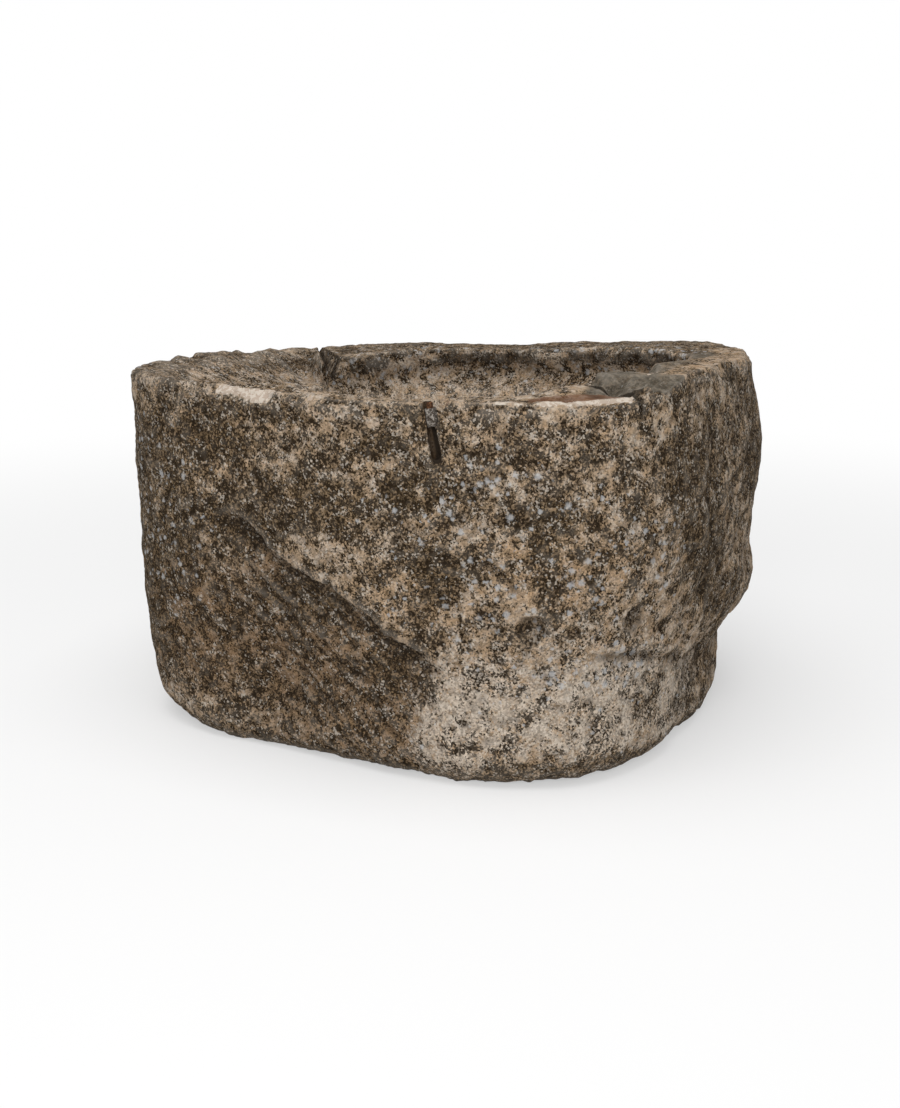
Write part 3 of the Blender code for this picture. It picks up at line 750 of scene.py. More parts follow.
# Zones of growth and stain on the outer face: angle, height, breadth in degrees and rise
CRUST_ZONES = (
    (300, 0.125, 15, 0.075), (322, 0.125, 18, 0.085), (345, 0.09, 14, 0.07), (292, 0.06, 8, 0.05),
)
# The wide ovals at 212 and 225 degrees darken the left end: dark film, and painted shade on the side turned
# from the light
DARK_ZONES = (
    (262, 0.43, 13, 0.03), (247, 0.37, 11, 0.035), (286, 0.455, 9, 0.03), (290, 0.33, 5, 0.045),
    (265, 0.395, 8, 0.022), (283, 0.16, 7, 0.035), (260, 0.258, 9, 0.03), (310, 0.384, 4, 0.025),
    (338, 0.455, 7, 0.07), (346, 0.415, 8, 0.05), (346, 0.35, 7, 0.05), (4, 0.235, 6, 0.03),
    (354, 0.27, 5, 0.07), (252, 0.545, 14, 0.012), (310, 0.42, 7, 0.02), (20, 0.42, 10, 0.05),
    (225, 0.4, 12, 0.13), (279, 0.51, 6, 0.02), (212, 0.225, 12, 0.11), (240, 0.5, 9, 0.04),
    (60, 0.4, 14, 0.08), (100, 0.3, 16, 0.1), (150, 0.42, 14, 0.07), (185, 0.3, 10, 0.09),
    (321, 0.03, 26, 0.012), (333, 0.112, 5, 0.035), (352, 0.075, 9, 0.03),
)
SMOOTH_ZONES = (
    (257, 0.52, 7, 0.016), (265, 0.505, 7, 0.016), (276, 0.47, 4, 0.03), (273, 0.53, 9, 0.014),
    (333, 0.53, 6, 0.03), (350, 0.558, 14, 0.018), (332, 0.292, 9, 0.05), (302, 0.54, 9, 0.016),
    (296, 0.471, 6, 0.02), (270, 0.345, 5, 0.016), (303, 0.29, 7, 0.025), (40, 0.3, 12, 0.06),
    (120, 0.48, 14, 0.05),
)
SCOOP_ZONES = ((232, 0.2, 20, 0.11), (258, 0.15, 18, 0.1), (275, 0.11, 9, 0.09))
LICHEN_ZONES = (
    (300, 0.42, 22, 0.09), (296, 0.28, 16, 0.06), (322, 0.33, 16, 0.09), (229, 0.36, 10, 0.16),
    (322, 0.19, 14, 0.04), (205, 0.4, 20, 0.2),
)
OCHRE_ZONES = (
    (312, 0.34, 12, 0.05), (240, 0.48, 8, 0.06), (285, 0.29, 9, 0.04), (320, 0.56, 4, 0.02),
)


# Bands below the rim and in from the outer face, and sectors of the plan: middle, breadth and reach
LIP_BAND = (0.006, 0.01, 1.2)
RECESS_BAND = (0.022, 0.012, 1.3)
LICHEN_BAND = (0.046, 0.014, 1.2)
STRIP_BAND = (0.036, 0.018, 1.6)
BACK_SECTOR = (80.0, 85.0, 1.15)
INSIDE_BACK_SECTOR = (80.0, 85.0, 1.6)
LEFT_SECTOR = (200.0, 45.0, 1.5)
RIGHT_RIM_SECTOR = (6.0, 35.0, 1.4)
STRIP_ENDS = (302.0, 326.0)
# The slate-coloured top of the corner: its middle, the directions across and along it, and its breadth
CORNER_MIDDLE = (0.38, -0.205)
CORNER_AXES = ((0.962, 0.275), (0.275, -0.962))
CORNER_TOP = (-0.034, 0.048, 1.4)
CORNER_LENGTH = 0.11
CORNER_FRONT = -0.24
# Depths at which hollows get their full painted shade, with their passes of smoothing and their strength
FINE_HOLLOWS = (0.0003, 3, 0.42)
WIDE_HOLLOWS = (0.00012, 14, 0.28)
WORN_HEIGHT = 0.00035
# The rust beside the hole: middle and width to its right, up along it and in Y
RUST_FLANK = ((0.022, 0.01), (-0.008, 0.012), (-0.4, 0.03))
# Strengths of the painted shade in the two small nicks of the front face
NICK_SHADES = (0.45, 0.65)


def paint_block(block):
    """Masks for the stone's material, one to each point, worked out from where the point lies.

    growth: white crust, dark film, smooth bare patches. stain: brown, rust, fresh stone.
    form: painted shade in hollows, nicks and the recess; worn edge; basin. tint: ochre, rim, lichen.
    Both dark and bare is slate-coloured.
    """
    points, normals = vertex_arrays(block.data)
    x, y, z = points.T
    angle = np.degrees(np.arctan2(y, x))
    past_cleft = turn_between(angle, CORNER_CLEFT["angle"])
    from_rim = rim_height(angle) - z
    inward = outer_radius(angle, np.maximum(z, 0.0)) - np.hypot(x, y)
    basin = past(inward, 0.04, 0.014) * past(from_rim, 0.004, 0.01)
    face = 1.0 - past(inward, 0.018, 0.02)
    rim = smooth(1.2 - from_rim / 0.016) * facing(normals, 2, 0.3, 0.7)
    crust = zone(angle, z, CRUST_ZONES) * face

    inside_back = in_sector(angle, *INSIDE_BACK_SECTOR)
    lip = near(from_rim, *LIP_BAND) * past(inward, 0.05, 0.02) * inside_back
    # The recess under the back lip: brown stain, darkened further as painted shadow under the lip
    recess = near(from_rim, *RECESS_BAND) * basin * inside_back
    recess = recess * smooth(2.5 * fractal(points, 0.08, 171, 2) + 0.9)
    # Darker towards the top of the outer face
    dark = np.maximum(zone(angle, z, DARK_ZONES), 0.2 * past(z, 0.38, 0.1)) * face
    back_rim = rim * in_sector(angle, *BACK_SECTOR) * smooth(turn_between(angle, 30.0) / 20.0)
    left_rim = 0.8 * rim * in_sector(angle, *LEFT_SECTOR)
    foot = 0.8 * past(-z, -0.03, 0.012) * face
    dark = np.maximum.reduce([dark, back_rim, left_rim, 0.9 * recess, 0.8 * lip, foot])

    broken_faces = [on_break(points, *broken) for broken in BREAKS[:3]]
    behind_front = past(y, CORNER_FRONT, 0.01)
    broken_faces[0] = broken_faces[0] * behind_front
    away = points[:, :2] - CORNER_MIDDLE
    across, along = (away[:, 0] * over_x + away[:, 1] * over_y for over_x, over_y in CORNER_AXES)
    corner_top = near(across, *CORNER_TOP) * past(-np.abs(along), -CORNER_LENGTH, 0.02) * (from_rim < 0.03)
    before_cleft = face * past(from_rim, 0.004, 0.006) * (past_cleft < 0.0)
    broken_face = np.maximum.reduce([*broken_faces, corner_top]) * (1.0 - before_cleft)
    corner_flat = rim * past(-x, -0.43, 0.03) * past(-y, -0.1, 0.08) * behind_front * (x > 0.28)
    slate = np.maximum(broken_face, 0.75 * corner_flat)
    right_rim = rim * in_sector(angle, *RIGHT_RIM_SECTOR) * (1.0 - slate)
    bare = zone(angle, z, SMOOTH_ZONES) * face
    bare = np.maximum.reduce([bare * (1.0 - dark), slate, right_rim])
    dark = np.maximum(dark, slate)

    brown = below_crease(angle, z, 0.05, 1.0)
    brown = np.maximum(np.maximum(brown, zone(angle, z, SCOOP_ZONES)) * face, recess)
    strip = near(inward, *STRIP_BAND) * smooth(turn_between(angle, STRIP_ENDS[0]) / 10.0)
    strip = strip * smooth(turn_between(STRIP_ENDS[1], angle) / 2.0) * smooth(1.0 - from_rim / 0.03)
    side, _, up = in_frame(points, hole_place()).T
    flank = sum(((value - middle) / width) ** 2 for value, (middle, width) in zip((side, up, y), RUST_FLANK))
    rust = np.maximum(strip, 0.55 * np.exp(-flank))

    settings = (FINE_HOLLOWS, WIDE_HOLLOWS)
    hollows = [hollowness(block.data, points, normals, passes) for _, passes, _ in settings]
    parts = zip(hollows, settings)
    # Painted shade in hollows, deeper where a point lies further below its neighbours
    hollow_shade = sum(np.clip(hollow / depth, 0.0, 1.0) * strength for hollow, (depth, _, strength) in parts)
    worn = np.clip(-hollows[0] / WORN_HEIGHT, 0.0, 1.0)
    # Painted shade in the two small nicks, and partly in the recess under the back lip
    nicks = [shade * on_break(points, *broken) for shade, broken in zip(NICK_SHADES, BREAKS[3:])]
    hollow_shade = np.maximum.reduce([hollow_shade * (1.0 - 0.6 * basin), *nicks, 0.6 * recess])

    fresh = np.zeros(len(points))
    for there, reach, depth, tilt, freshness in FLAKES:
        fresh = np.maximum(fresh, freshness * on_break(points, *flake_plane(there, tilt), depth, reach))
    fresh = fresh * ((past_cleft < -0.6) | (angle > -20.0))
    band = 0.0075 + 0.0065 * (angle < -90.0) + 0.006 * np.exp(-(turn_between(angle, 251.0) / 3.0) ** 2)
    band = band + 0.003 * fractal(points, 0.01, 172, 3, 0.7)
    fresh = fresh * smooth((band - from_rim) / 0.0012 + 0.5)
    arris = 4.0 * broken_face * (1.0 - broken_face) * smooth(1.5 - from_rim / 0.008)
    fresh = np.maximum(fresh, 0.4 * arris)

    lichen_band = np.maximum(lip, 0.8 * near(from_rim, *LICHEN_BAND) * basin * inside_back)
    lichened = np.maximum(zone(angle, z, LICHEN_ZONES) * face, lichen_band)
    ochre = np.maximum(zone(angle, z, OCHRE_ZONES) * face, 0.8 * right_rim)
    store(block.data, "growth", crust, dark, bare)
    store(block.data, "stain", brown, rust, fresh)
    store(block.data, "form", hollow_shade, worn, basin)
    store(block.data, "tint", ochre, rim, lichened)


def store(mesh, name, red, green, blue):
    """Keeps three masks as one colour attribute of the mesh's points."""
    layer = mesh.color_attributes.new(name, "FLOAT_COLOR", "POINT")
    values = np.stack([red, green, blue, np.ones(len(red))], axis=1)
    layer.data.foreach_set("color", np.clip(values, 0.0, 1.0).astype(np.float32).ravel())


def add_node(tree, kind, inputs=None, **settings):
    """A node with its settings, and each input linked to a socket or set to a value."""
    made = tree.nodes.new(kind)
    for name, value in settings.items():
        setattr(made, name, value)
    for key, value in (inputs or {}).items():
        if isinstance(value, bpy.types.NodeSocket):
            tree.links.new(value, made.inputs[key])
        else:
            made.inputs[key].default_value = value
    return made


def maths(tree, operation, first, second=0.0, third=0.0, clamp=False):
    """The result of a Math node."""
    inputs = {0: first, 1: second, 2: third}
    return add_node(tree, "ShaderNodeMath", inputs, operation=operation, use_clamp=clamp).outputs[0]


def times(tree, first, second):
    """The product of two values."""
    return maths(tree, "MULTIPLY", first, second)


def weighed(tree, value, *terms):
    """A value with (mask, weight) terms added to it."""
    for mask, weight in terms:
        value = maths(tree, "MULTIPLY_ADD", mask, weight, value)
    return value


def ramp(tree, value, low, high, start=0.0, end=1.0):
    """A value eased from start to end between low and high."""
    inputs = {"Value": value, "From Min": low, "From Max": high, "To Min": start, "To Max": end}
    return add_node(tree, "ShaderNodeMapRange", inputs, interpolation_type="SMOOTHSTEP").outputs["Result"]


def blend(tree, share, under, over, how="MIX"):
    """A colour laid over another by a share."""
    mixed = add_node(tree, "ShaderNodeMix", {0: share, 6: under, 7: over}, data_type="RGBA", blend_type=how)
    return mixed.outputs[2]


def coat(tree, colour, over, mask, share):
    """A colour under another that a mask times a share lays over it."""
    return blend(tree, times(tree, mask, share), colour, over)


def grey(tree, value):
    """A value as a grey colour."""
    return add_node(tree, "ShaderNodeCombineColor", {0: value, 1: value, 2: value}).outputs[0]


def noise(tree, place, scale, detail=3.0, roughness=0.6, distortion=0.0):
    """The value of a Noise texture."""
    inputs = {"Scale": scale, "Detail": detail, "Roughness": roughness, "Distortion": distortion}
    return add_node(tree, "ShaderNodeTexNoise", {"Vector": place, **inputs}).outputs["Fac"]


def grit(tree, place, scale):
    """Three random values of each little cell that space is split into, even over a grain and crisp."""
    cells = add_node(tree, "ShaderNodeTexVoronoi", {"Vector": place, "Scale": scale})
    return add_node(tree, "ShaderNodeSeparateColor", {"Color": cells.outputs["Color"]}).outputs


def new_group(name, inputs, outputs):
    """An empty shader group with float, vector or colour sockets."""
    tree = bpy.data.node_groups.new(name, "ShaderNodeTree")
    for title, kind, default in inputs:
        socket = tree.interface.new_socket(title, in_out="INPUT", socket_type=kind)
        if default is not None:
            socket.default_value = default
    for title, kind in outputs:
        tree.interface.new_socket(title, in_out="OUTPUT", socket_type=kind)
    return tree, tree.nodes.new("NodeGroupInput").outputs, tree.nodes.new("NodeGroupOutput").inputs


def mask_group(name, scale, cover, softness):
    """An empty group that gives one mask."""
    inputs = (
        ("Vector", "NodeSocketVector", None), ("Scale", "NodeSocketFloat", scale),
        ("Cover", "NodeSocketFloat", cover), ("Softness", "NodeSocketFloat", softness),
    )
    return new_group(name, inputs, [("Mask", "NodeSocketFloat")])


def speckle_group():
    """Specks and blotches: noise cut off at a level that the wished cover sets."""
    tree, given, wanted = mask_group("speckle", 150.0, 0.5, 0.02)
    value = noise(tree, given["Vector"], given["Scale"], 4.0, 0.62)
    level = maths(tree, "MULTIPLY_ADD", given["Cover"], -0.26, 0.63)
    low = maths(tree, "SUBTRACT", level, given["Softness"])
    high = maths(tree, "ADD", level, given["Softness"])
    tree.links.new(ramp(tree, value, low, high), wanted["Mask"])
    return tree


def spots_group():
    """Round spots of many sizes: distance to scattered points, cut off at a size that each point draws."""
    tree, given, wanted = mask_group("spots", 60.0, 0.4, 0.5)
    jitter = add_node(tree, "ShaderNodeTexNoise", {"Vector": given["Vector"], "Scale": 190.0, "Detail": 2.0})
    centred = {0: jitter.outputs["Color"], 1: (-0.5, -0.5, -0.5)}
    shift = add_node(tree, "ShaderNodeVectorMath", centred, operation="ADD")
    moved = {0: shift.outputs[0], 1: (0.01, 0.01, 0.01), 2: given["Vector"]}
    warped = add_node(tree, "ShaderNodeVectorMath", moved, operation="MULTIPLY_ADD")
    cells = add_node(tree, "ShaderNodeTexVoronoi", {"Vector": warped.outputs[0], "Scale": given["Scale"]})
    drawn = add_node(tree, "ShaderNodeSeparateColor", {"Color": cells.outputs["Color"]}).outputs[0]
    size = times(tree, maths(tree, "SUBTRACT", given["Cover"], drawn, clamp=True), 1.25)
    inner = times(tree, size, maths(tree, "SUBTRACT", 1.0, given["Softness"]))
    mask = ramp(tree, cells.outputs["Distance"], inner, maths(tree, "ADD", size, 0.0001), 1.0, 0.0)
    tree.links.new(mask, wanted["Mask"])
    return tree


def grain_group():
    """Height of a rough mineral surface: three noises and small pits, about 0 to 1."""
    inputs = (("Vector", "NodeSocketVector", None), ("Scale", "NodeSocketFloat", 1.0))
    tree, given, wanted = new_group("grain", inputs, [("Height", "NodeSocketFloat")])
    sizes = ((55.0, 4.0, 0.65), (170.0, 3.0, 0.65), (520.0, 2.0, 0.6))
    coarse, medium, fine = (
        noise(tree, given["Vector"], times(tree, given["Scale"], scale), detail, roughness)
        for scale, detail, roughness in sizes
    )
    height = weighed(tree, coarse, (medium, 0.5), (fine, 0.28))
    tree.links.new(times(tree, height, 0.56), wanted["Height"])
    return tree


def placed_group(tree, group, output, **inputs):
    """One output of a group placed in a material with its own values."""
    return add_node(tree, "ShaderNodeGroup", inputs, node_tree=group).outputs[output]


def new_material(name, roughness, metallic=0.0):
    """A node material with its shader's plain values set."""
    made = bpy.data.materials.new(name)
    made.use_nodes = True
    shader = made.node_tree.nodes["Principled BSDF"]
    shader.inputs["Roughness"].default_value = roughness
    shader.inputs["Metallic"].default_value = metallic
    shader.inputs["Specular IOR Level"].default_value = 0.03
    return made, made.node_tree, shader


def masks(tree, name):
    """The three masks of a colour attribute."""
    layer_node = add_node(tree, "ShaderNodeAttribute", attribute_name=name)
    return add_node(tree, "ShaderNodeSeparateColor", {"Color": layer_node.outputs["Color"]}).outputs


def object_place(tree):
    """The shaded point in the object's own coordinates."""
    return add_node(tree, "ShaderNodeTexCoord").outputs["Object"]


def add_bump(tree, shader, height, strength, distance):
    """Bumps a shader by a height."""
    bump = add_node(tree, "ShaderNodeBump", {"Height": height, "Strength": strength, "Distance": distance})
    tree.links.new(bump.outputs["Normal"], shader.inputs["Normal"])


# Colours as they look under the plain light, in linear values
BEIGE = (0.368, 0.296, 0.226, 1.0)
BUFF = (0.3, 0.216, 0.14, 1.0)
OCHRE = (0.36, 0.225, 0.115, 1.0)
BROWN = (0.15, 0.088, 0.044, 1.0)
FILM = (0.092, 0.062, 0.034, 1.0)
SPECK = (0.016, 0.01, 0.005, 1.0)
CRUST = (0.5, 0.448, 0.384, 1.0)
LICHEN = (0.43, 0.435, 0.44, 1.0)
SLATE = (0.066, 0.057, 0.044, 1.0)
SLATE_LIGHT = (0.135, 0.118, 0.093, 1.0)
FRESH = (0.39, 0.315, 0.252, 1.0)
CHALK = (0.52, 0.455, 0.385, 1.0)
RUST = (0.135, 0.062, 0.033, 1.0)
SHADE = (0.02, 0.015, 0.011, 1.0)
BORE = (0.052, 0.032, 0.018, 1.0)


def framed(tree, place, frame):
    """The coordinates of the shaded point in a frame of its own, as three sockets."""
    origin = tuple(frame.translation)
    away = add_node(tree, "ShaderNodeVectorMath", {0: place, 1: origin}, operation="SUBTRACT").outputs[0]
    dots = (
        add_node(tree, "ShaderNodeVectorMath", {0: away, 1: tuple(axis)}, operation="DOT_PRODUCT")
        for axis in frame.to_3x3().col
    )
    return [dot.outputs["Value"] for dot in dots]


def cleft_shade(tree, place, cleft):
    """1 in a cleft's wedge."""
    across, along, up = framed(tree, place, cleft_place(**cleft))
    half = maths(tree, "MULTIPLY_ADD", up, cleft["width"] / cleft["drop"] / 2, cleft["width"] / 2 + 0.0008)
    inside = ramp(tree, maths(tree, "SUBTRACT", half, maths(tree, "ABSOLUTE", across)), 0.0, 0.001)
    inside = times(tree, inside, ramp(tree, along, -0.006, 0.002))
    return times(tree, inside, ramp(tree, along, 0.26, 0.19))


SKEW = (0.62, 0.44, 0.35)  # the noises are turned by these radians, so that their lattice shows nowhere


def stone_material(spots, grain):
    """Beige limestone under brown stain, dark film, black specks, crust, lichen, rust and fresh breaks,
    with painted shade in hollows, nicks, clefts and the bore.
    """
    made, tree, shader = new_material("weathered_limestone", 0.92)
    place = object_place(tree)
    crust, dark, bare = masks(tree, "growth")[:3]
    brown, rust, fresh = masks(tree, "stain")[:3]
    hollow_shade, worn, basin = masks(tree, "form")[:3]
    ochre, rim, lichened = masks(tree, "tint")[:3]
    skewed = {"Vector": place, "Rotation": SKEW}
    askew = add_node(tree, "ShaderNodeVectorRotate", skewed, rotation_type="EULER_XYZ").outputs[0]
    broad = noise(tree, askew, 7.0, 3.0, 0.55)
    patchy = noise(tree, askew, 26.0, 5.0, 0.68, 0.5)
    growth = noise(tree, askew, 34.0, 5.0, 0.66, 0.3)
    height = placed_group(tree, grain, "Height", Vector=askew, Scale=1.0)
    fine = grit(tree, askew, 345.0)
    coarse = grit(tree, askew, 190.0)

    colour = blend(tree, ramp(tree, noise(tree, askew, 60.0, 4.0, 0.65), 0.42, 0.58), BUFF, BEIGE)
    warm = times(tree, ramp(tree, noise(tree, askew, 45.0, 3.0, 0.65), 0.52, 0.62), 0.24)
    colour = blend(tree, weighed(tree, warm, (ochre, 0.3)), colour, OCHRE)
    colour = coat(tree, colour, BROWN, brown, 0.74)

    clumps = weighed(tree, noise(tree, askew, 75.0, 4.0, 0.7), (crust, 0.42), (fine[2], 0.3))
    crusty = ramp(tree, clumps, 0.9, 1.02)
    colour = coat(tree, colour, CRUST, crusty, 0.48)

    # Cover of dark film: dirt, with the painted shade that the dark mask carries at the recess and the left
    # end
    dirt_and_shade = ramp(tree, weighed(tree, patchy, (broad, 0.5)), 0.64, 0.86, 0.22, 0.78)
    shares = ((dark, 0.66), (bare, -0.4), (crust, -0.27), (rim, -0.1), (fresh, -1.0), (brown, 0.12))
    dirt_and_shade = weighed(tree, dirt_and_shade, *shares, (basin, -0.25))
    dirt_and_shade = maths(tree, "MINIMUM", maths(tree, "MAXIMUM", dirt_and_shade, 0.0), 1.0)
    film = weighed(tree, growth, (dirt_and_shade, 0.21), (crust, -0.01), (fine[0], 0.15), (coarse[0], 0.03))
    film = ramp(tree, film, 0.626, 0.656)
    thick = ramp(tree, noise(tree, askew, 140.0, 3.0, 0.7), 0.4, 0.6, 0.5, 0.8)
    thick = weighed(tree, thick, (dark, 0.25), (crust, -0.4), (rim, -0.16))
    colour = blend(tree, maths(tree, "MULTIPLY", film, thick, clamp=True), colour, FILM)
    grains = ramp(tree, weighed(tree, 0.0, (fine[1], 0.75), (coarse[1], 0.25)), 0.12, 0.88, 0.05, 1.95)
    strength = weighed(tree, 0.34, (film, 0.46), (rim, -0.12))
    colour = blend(tree, strength, colour, grey(tree, grains), "MULTIPLY")

    shares = ((film, 0.05), (dirt_and_shade, 0.04), (coarse[1], 0.04), (crust, -0.045), (rim, -0.03))
    specks = ramp(tree, weighed(tree, noise(tree, askew, 240.0, 2.0, 0.75), *shares), 0.648, 0.66)
    dots = weighed(tree, growth, (fine[2], 0.34), (film, 0.07), (dirt_and_shade, 0.05), (crust, -0.01), (fresh, -0.3))
    specks = maths(tree, "MAXIMUM", specks, ramp(tree, dots, 0.866, 0.876))
    colour = coat(tree, colour, SPECK, specks, 0.92)
    pale = weighed(tree, noise(tree, askew, 60.0, 2.0, 0.6), (fine[2], -0.66), (film, 0.02))
    colour = coat(tree, colour, CRUST, ramp(tree, pale, 0.5, 0.52), 0.6)

    slate = ramp(tree, times(tree, dark, bare), 0.25, 0.75)
    slaty = blend(tree, ramp(tree, noise(tree, askew, 110.0, 4.0, 0.7), 0.4, 0.6), SLATE, SLATE_LIGHT)
    colour = coat(tree, colour, slaty, slate, 0.8)
    cover = weighed(tree, 0.12, (lichened, 0.42), (crust, 0.18), (basin, 0.2), (slate, -0.1))
    lichen = placed_group(tree, spots, "Mask", Vector=askew, Scale=85.0, Cover=cover, Softness=0.65)
    colour = coat(tree, colour, LICHEN, lichen, 0.72)
    cover = weighed(tree, 0.26, (basin, 0.2), (slate, -0.2))
    flecks = placed_group(tree, spots, "Mask", Vector=askew, Scale=330.0, Cover=cover, Softness=0.3)
    colour = coat(tree, colour, CRUST, flecks, 0.75)

    ragged = maths(tree, "MULTIPLY_ADD", maths(tree, "SUBTRACT", growth, 0.5), 1.6, fresh)
    chips = blend(tree, ramp(tree, noise(tree, askew, 120.0, 2.0, 0.5, 1.0), 0.5, 0.54), FRESH, CHALK)
    colour = blend(tree, ramp(tree, ragged, 0.46, 0.54), colour, chips)
    rusty = maths(tree, "MULTIPLY_ADD", maths(tree, "SUBTRACT", patchy, 0.5), 1.6, rust)
    colour = coat(tree, colour, RUST, ramp(tree, rusty, 0.38, 0.7), 0.75)
    # Painted shade in hollows, nicks and the recess under the back lip
    colour = coat(tree, colour, SHADE, hollow_shade, 0.88)
    colour = coat(tree, colour, CRUST, worn, 0.16)

    # The bore's wall: rust brown, darkened further as painted shade, with a painted shadow on its right side
    across, depth, up = framed(tree, place, hole_place())
    from_axis = maths(tree, "SQRT", maths(tree, "MULTIPLY_ADD", across, across, times(tree, depth, depth)))
    bore = ramp(tree, from_axis, HOLE_DIAMETER / 2 + 0.0008, HOLE_DIAMETER / 2 + 0.0016, 1.0, 0.0)
    bore = times(tree, bore, ramp(tree, up, -HOLE_LENGTH - 0.005, -HOLE_LENGTH - 0.003))
    colour = coat(tree, colour, BORE, bore, 0.85)
    shaded = times(tree, bore, ramp(tree, across, -0.0075, -0.0045))
    for cleft in (CORNER_CLEFT, BACK_CLEFT):
        shaded = maths(tree, "MAXIMUM", shaded, times(tree, cleft_shade(tree, place, cleft), 0.8))
    colour = coat(tree, colour, SHADE, shaded, 0.9)
    tree.links.new(colour, shader.inputs["Base Color"])
    add_bump(tree, shader, weighed(tree, height, (specks, -0.1), (crusty, 0.06)), 1.0, 0.006)
    return made


# Metals: the ground colour, (scale, cover, softness, colour) of the specks on it, and scale, strength and
# distance of the bump
LEAD = {
    "name": "weathered_lead", "roughness": 0.55, "metallic": 0.35, "ground": (0.095, 0.082, 0.07, 1.0),
    "specks": (
        (260.0, 0.42, 0.04, (0.275, 0.248, 0.218, 1.0)), (420.0, 0.4, 0.04, (0.045, 0.034, 0.026, 1.0)),
    ),
    "bump": (2.0, 0.8, 0.002),
}
RUSTED_IRON = {
    "name": "rusted_iron", "roughness": 0.88, "metallic": 0.1, "ground": (0.075, 0.034, 0.018, 1.0),
    "specks": (
        (300.0, 0.5, 0.06, (0.165, 0.078, 0.04, 1.0)), (480.0, 0.3, 0.03, (0.022, 0.014, 0.01, 1.0)),
    ),
    "bump": (2.4, 1.0, 0.003),
}


def metal_material(speckle, grain, name, roughness, metallic, ground, specks, bump):
    """Corroded metal: dull lead with white bloom and dark folds, or brown iron with rust powder and pits."""
    made, tree, shader = new_material(name, roughness, metallic)
    place = object_place(tree)
    colour = ground
    for scale, cover, softness, over in specks:
        mask = placed_group(tree, speckle, "Mask", Vector=place, Scale=scale, Cover=cover, Softness=softness)
        colour = blend(tree, mask, colour, over)
    tree.links.new(colour, shader.inputs["Base Color"])
    add_bump(tree, shader, placed_group(tree, grain, "Height", Vector=place, Scale=bump[0]), *bump[1:])
    return made


def turned(name, profile, place, flat_front, rough, seed):
    """A rod turned from (radius, height) points, cut flat in front, its surface pushed about by noise."""
    radius, height = np.array(profile).T
    rows = spread(radius[:, None], np.arange(0, 360, 7.5), height[:, None])
    rows[..., 1] = np.maximum(rows[..., 1], -flat_front)
    rows = roughened(rows, rough, 0.005, seed)
    ends = placed(np.array([[0.0, 0.0, height[0]], [0.0, 0.0, height[-1]]]), place)
    return grid_mesh(name, placed(rows, place), *ends)


def make_lead():
    """The lead as it was poured: a collar with a drawn-down top, flat where the stone's face came away."""
    radius, socket = HOLE_DIAMETER / 2 - FIT, PIN_DIAMETER / 2 + FIT
    bottom = -LEAD_DROP - LEAD_LENGTH
    outer = [(radius, height) for height in np.linspace(bottom, -LEAD_DROP - 0.001, 16)]
    base = [(radius * share, bottom) for share in (0.3, 0.6, 0.85)]
    lip = [(radius - 0.001, -LEAD_DROP), (socket + 0.0006, -LEAD_DROP)]
    inner = [(socket, height) for height in np.linspace(-LEAD_DROP - 0.001, -PIN_DROP - PIN_LENGTH - FIT, 12)]
    return turned("lead_caulking", base + outer + lip + inner, hole_place(), LEAD_FRONT, 0.0003, 151)


def make_pin():
    """The pin's stump: rusted thin above the lead, with a torn, domed top."""
    radius = PIN_DIAMETER / 2 - FIT
    bottom, top = -PIN_DROP - PIN_LENGTH, -PIN_DROP
    base = [(radius * share, bottom) for share in (0.4, 0.8)]
    rise = top - 0.002 - bottom
    shaft = [(radius * (1.0 - 0.1 * (k / 18) ** 2), bottom + rise * k / 18) for k in range(19)]
    crown = [(radius * 0.8, top - 0.001), (radius * 0.55, top - 0.0004), (radius * 0.25, top - 0.0006)]
    return turned("rusted_pin_stub", base + shaft + crown, hole_place(), 1.0, 0.00045, 161)


# The camera stands where the photograph was taken from, and the studio is plain
CAMERA_PLACE = (1.06, -2.44, 0.921)
CAMERA_YAW = 23.6
CAMERA_PITCH = 14.17
CAMERA_LENS = 52.0
SENSOR = 36.0
FLOOR_SIZE = 60.0


def add_camera():
    """The camera at the photograph's view."""
    camera = bpy.data.objects.new("camera", bpy.data.cameras.new("camera"))
    camera.data.sensor_fit = "VERTICAL"
    camera.data.sensor_height = SENSOR
    camera.data.lens = CAMERA_LENS
    camera.location = CAMERA_PLACE
    camera.rotation_euler = (math.radians(90.0 - CAMERA_PITCH), 0.0, math.radians(CAMERA_YAW))
    bpy.context.scene.collection.objects.link(camera)
    bpy.context.scene.camera = camera


def seen_directly(tree):
    """1 for rays that show the background itself: from the camera, in a reflection or through glass."""
    path = add_node(tree, "ShaderNodeLightPath").outputs
    seen = maths(tree, "MAXIMUM", path["Is Camera Ray"], path["Is Glossy Ray"])
    return maths(tree, "MAXIMUM", seen, path["Is Transmission Ray"])


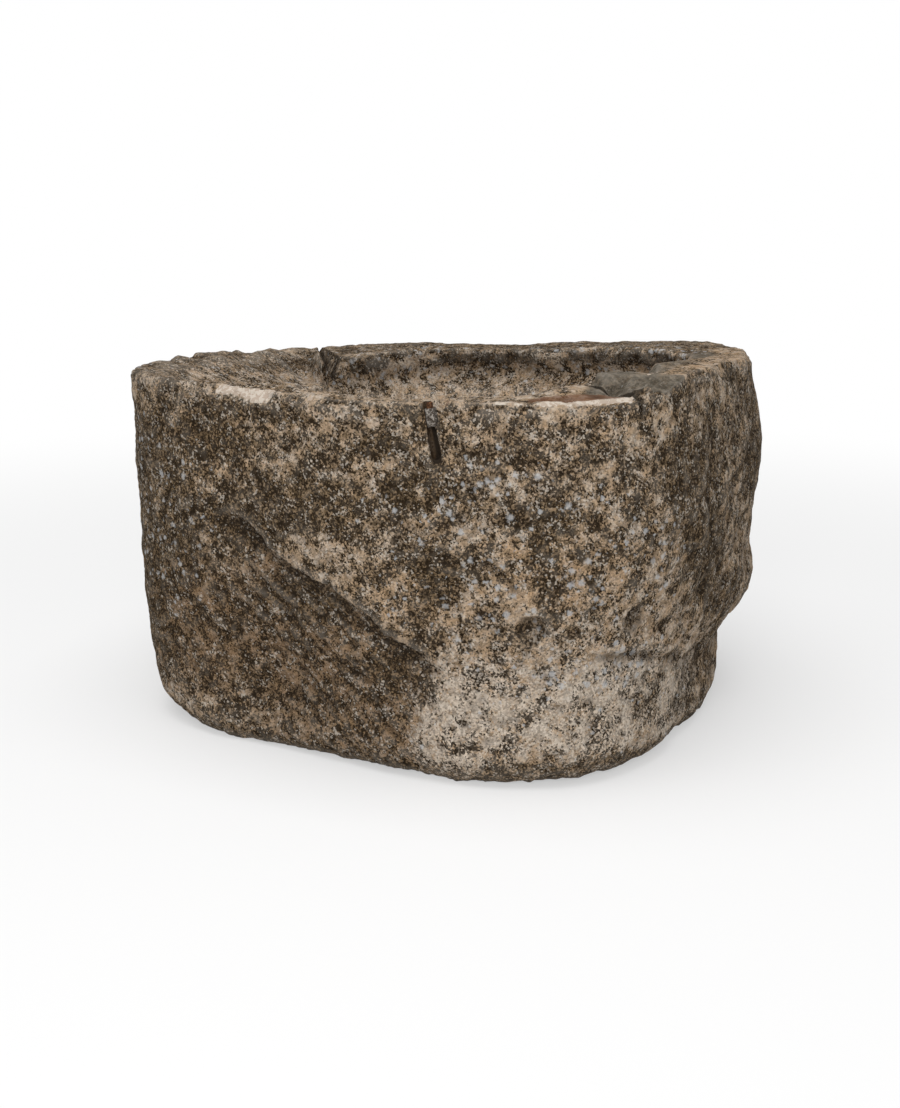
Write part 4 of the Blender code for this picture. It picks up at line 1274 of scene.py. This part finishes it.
def add_floor():
    """A pale floor that brightens to the white background and keeps the trough's shadow."""
    half = FLOOR_SIZE / 2
    mesh = bpy.data.meshes.new("floor")
    corners = [(-half, -half, 0.0), (half, -half, 0.0), (half, half, 0.0), (-half, half, 0.0)]
    mesh.from_pydata(corners, [], [(0, 1, 2, 3)])
    floor = bpy.data.objects.new("floor", mesh)
    bpy.context.scene.collection.objects.link(floor)
    made, tree, shader = new_material("floor", 0.9)
    shader.inputs["Base Color"].default_value = (0.8, 0.8, 0.8, 1.0)
    shader.inputs["Specular IOR Level"].default_value = 0.0
    away = add_node(tree, "ShaderNodeVectorMath", {0: object_place(tree)}, operation="LENGTH")
    brightness = ramp(tree, away.outputs["Value"], 0.8, 3.0, 0.45, 1.0)
    glow_share = times(tree, brightness, seen_directly(tree))
    glow = add_node(tree, "ShaderNodeEmission", {"Color": (1.0, 1.0, 1.0, 1.0), "Strength": 1.0})
    mixed = add_node(tree, "ShaderNodeMixShader", {0: glow_share, 1: shader.outputs[0], 2: glow.outputs[0]})
    output = next(found for found in tree.nodes if found.type == "OUTPUT_MATERIAL")
    tree.links.new(mixed.outputs[0], output.inputs["Surface"])
    mesh.materials.append(made)


def add_lamp(name, place, size, power, aim):
    """A square soft lamp that points at a place."""
    lamp = bpy.data.objects.new(name, bpy.data.lights.new(name, "AREA"))
    lamp.data.size = size
    lamp.data.energy = power
    lamp.location = place
    direction = Matrix.Translation(aim).translation - lamp.location
    lamp.rotation_euler = direction.to_track_quat("-Z", "Y").to_euler()
    bpy.context.scene.collection.objects.link(lamp)


def add_light():
    """Soft light from above and from behind the camera, and a plain world that is white where it is seen."""
    add_lamp("overhead", (0.0, -0.8, 4.2), 3.4, 120.0, (0.0, 0.0, 0.3))
    add_lamp("front", (1.9, -5.2, 2.6), 2.8, 150.0, (0.0, 0.0, 0.3))
    world = bpy.data.worlds.new("studio")
    bpy.context.scene.world = world
    world.use_nodes = True
    tree = world.node_tree
    background = tree.nodes["Background"]
    background.inputs["Color"].default_value = (1.0, 1.0, 1.0, 1.0)
    seen = {"Value": seen_directly(tree), "To Min": 0.45, "To Max": 1.0}
    strength = add_node(tree, "ShaderNodeMapRange", seen)
    tree.links.new(strength.outputs["Result"], background.inputs["Strength"])


def dress(piece, material, node):
    """Gives a piece its material and its place in the frame."""
    piece.data.materials.clear()
    piece.data.materials.append(material)
    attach(piece, "root")
    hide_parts(node)


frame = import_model()
CAD_BOX = [list(corner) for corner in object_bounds()]
speckle, spots, grain = speckle_group(), spots_group(), grain_group()
add_camera()
block = make_block()
paint_block(block)
dress(block, stone_material(spots, grain), "limestone_block")
dress(make_lead(), metal_material(speckle, grain, **LEAD), "lead_packing")
dress(make_pin(), metal_material(speckle, grain, **RUSTED_IRON), "iron_pin_stub")
add_floor()
add_light()
bpy.context.scene.view_settings.view_transform = "Standard"
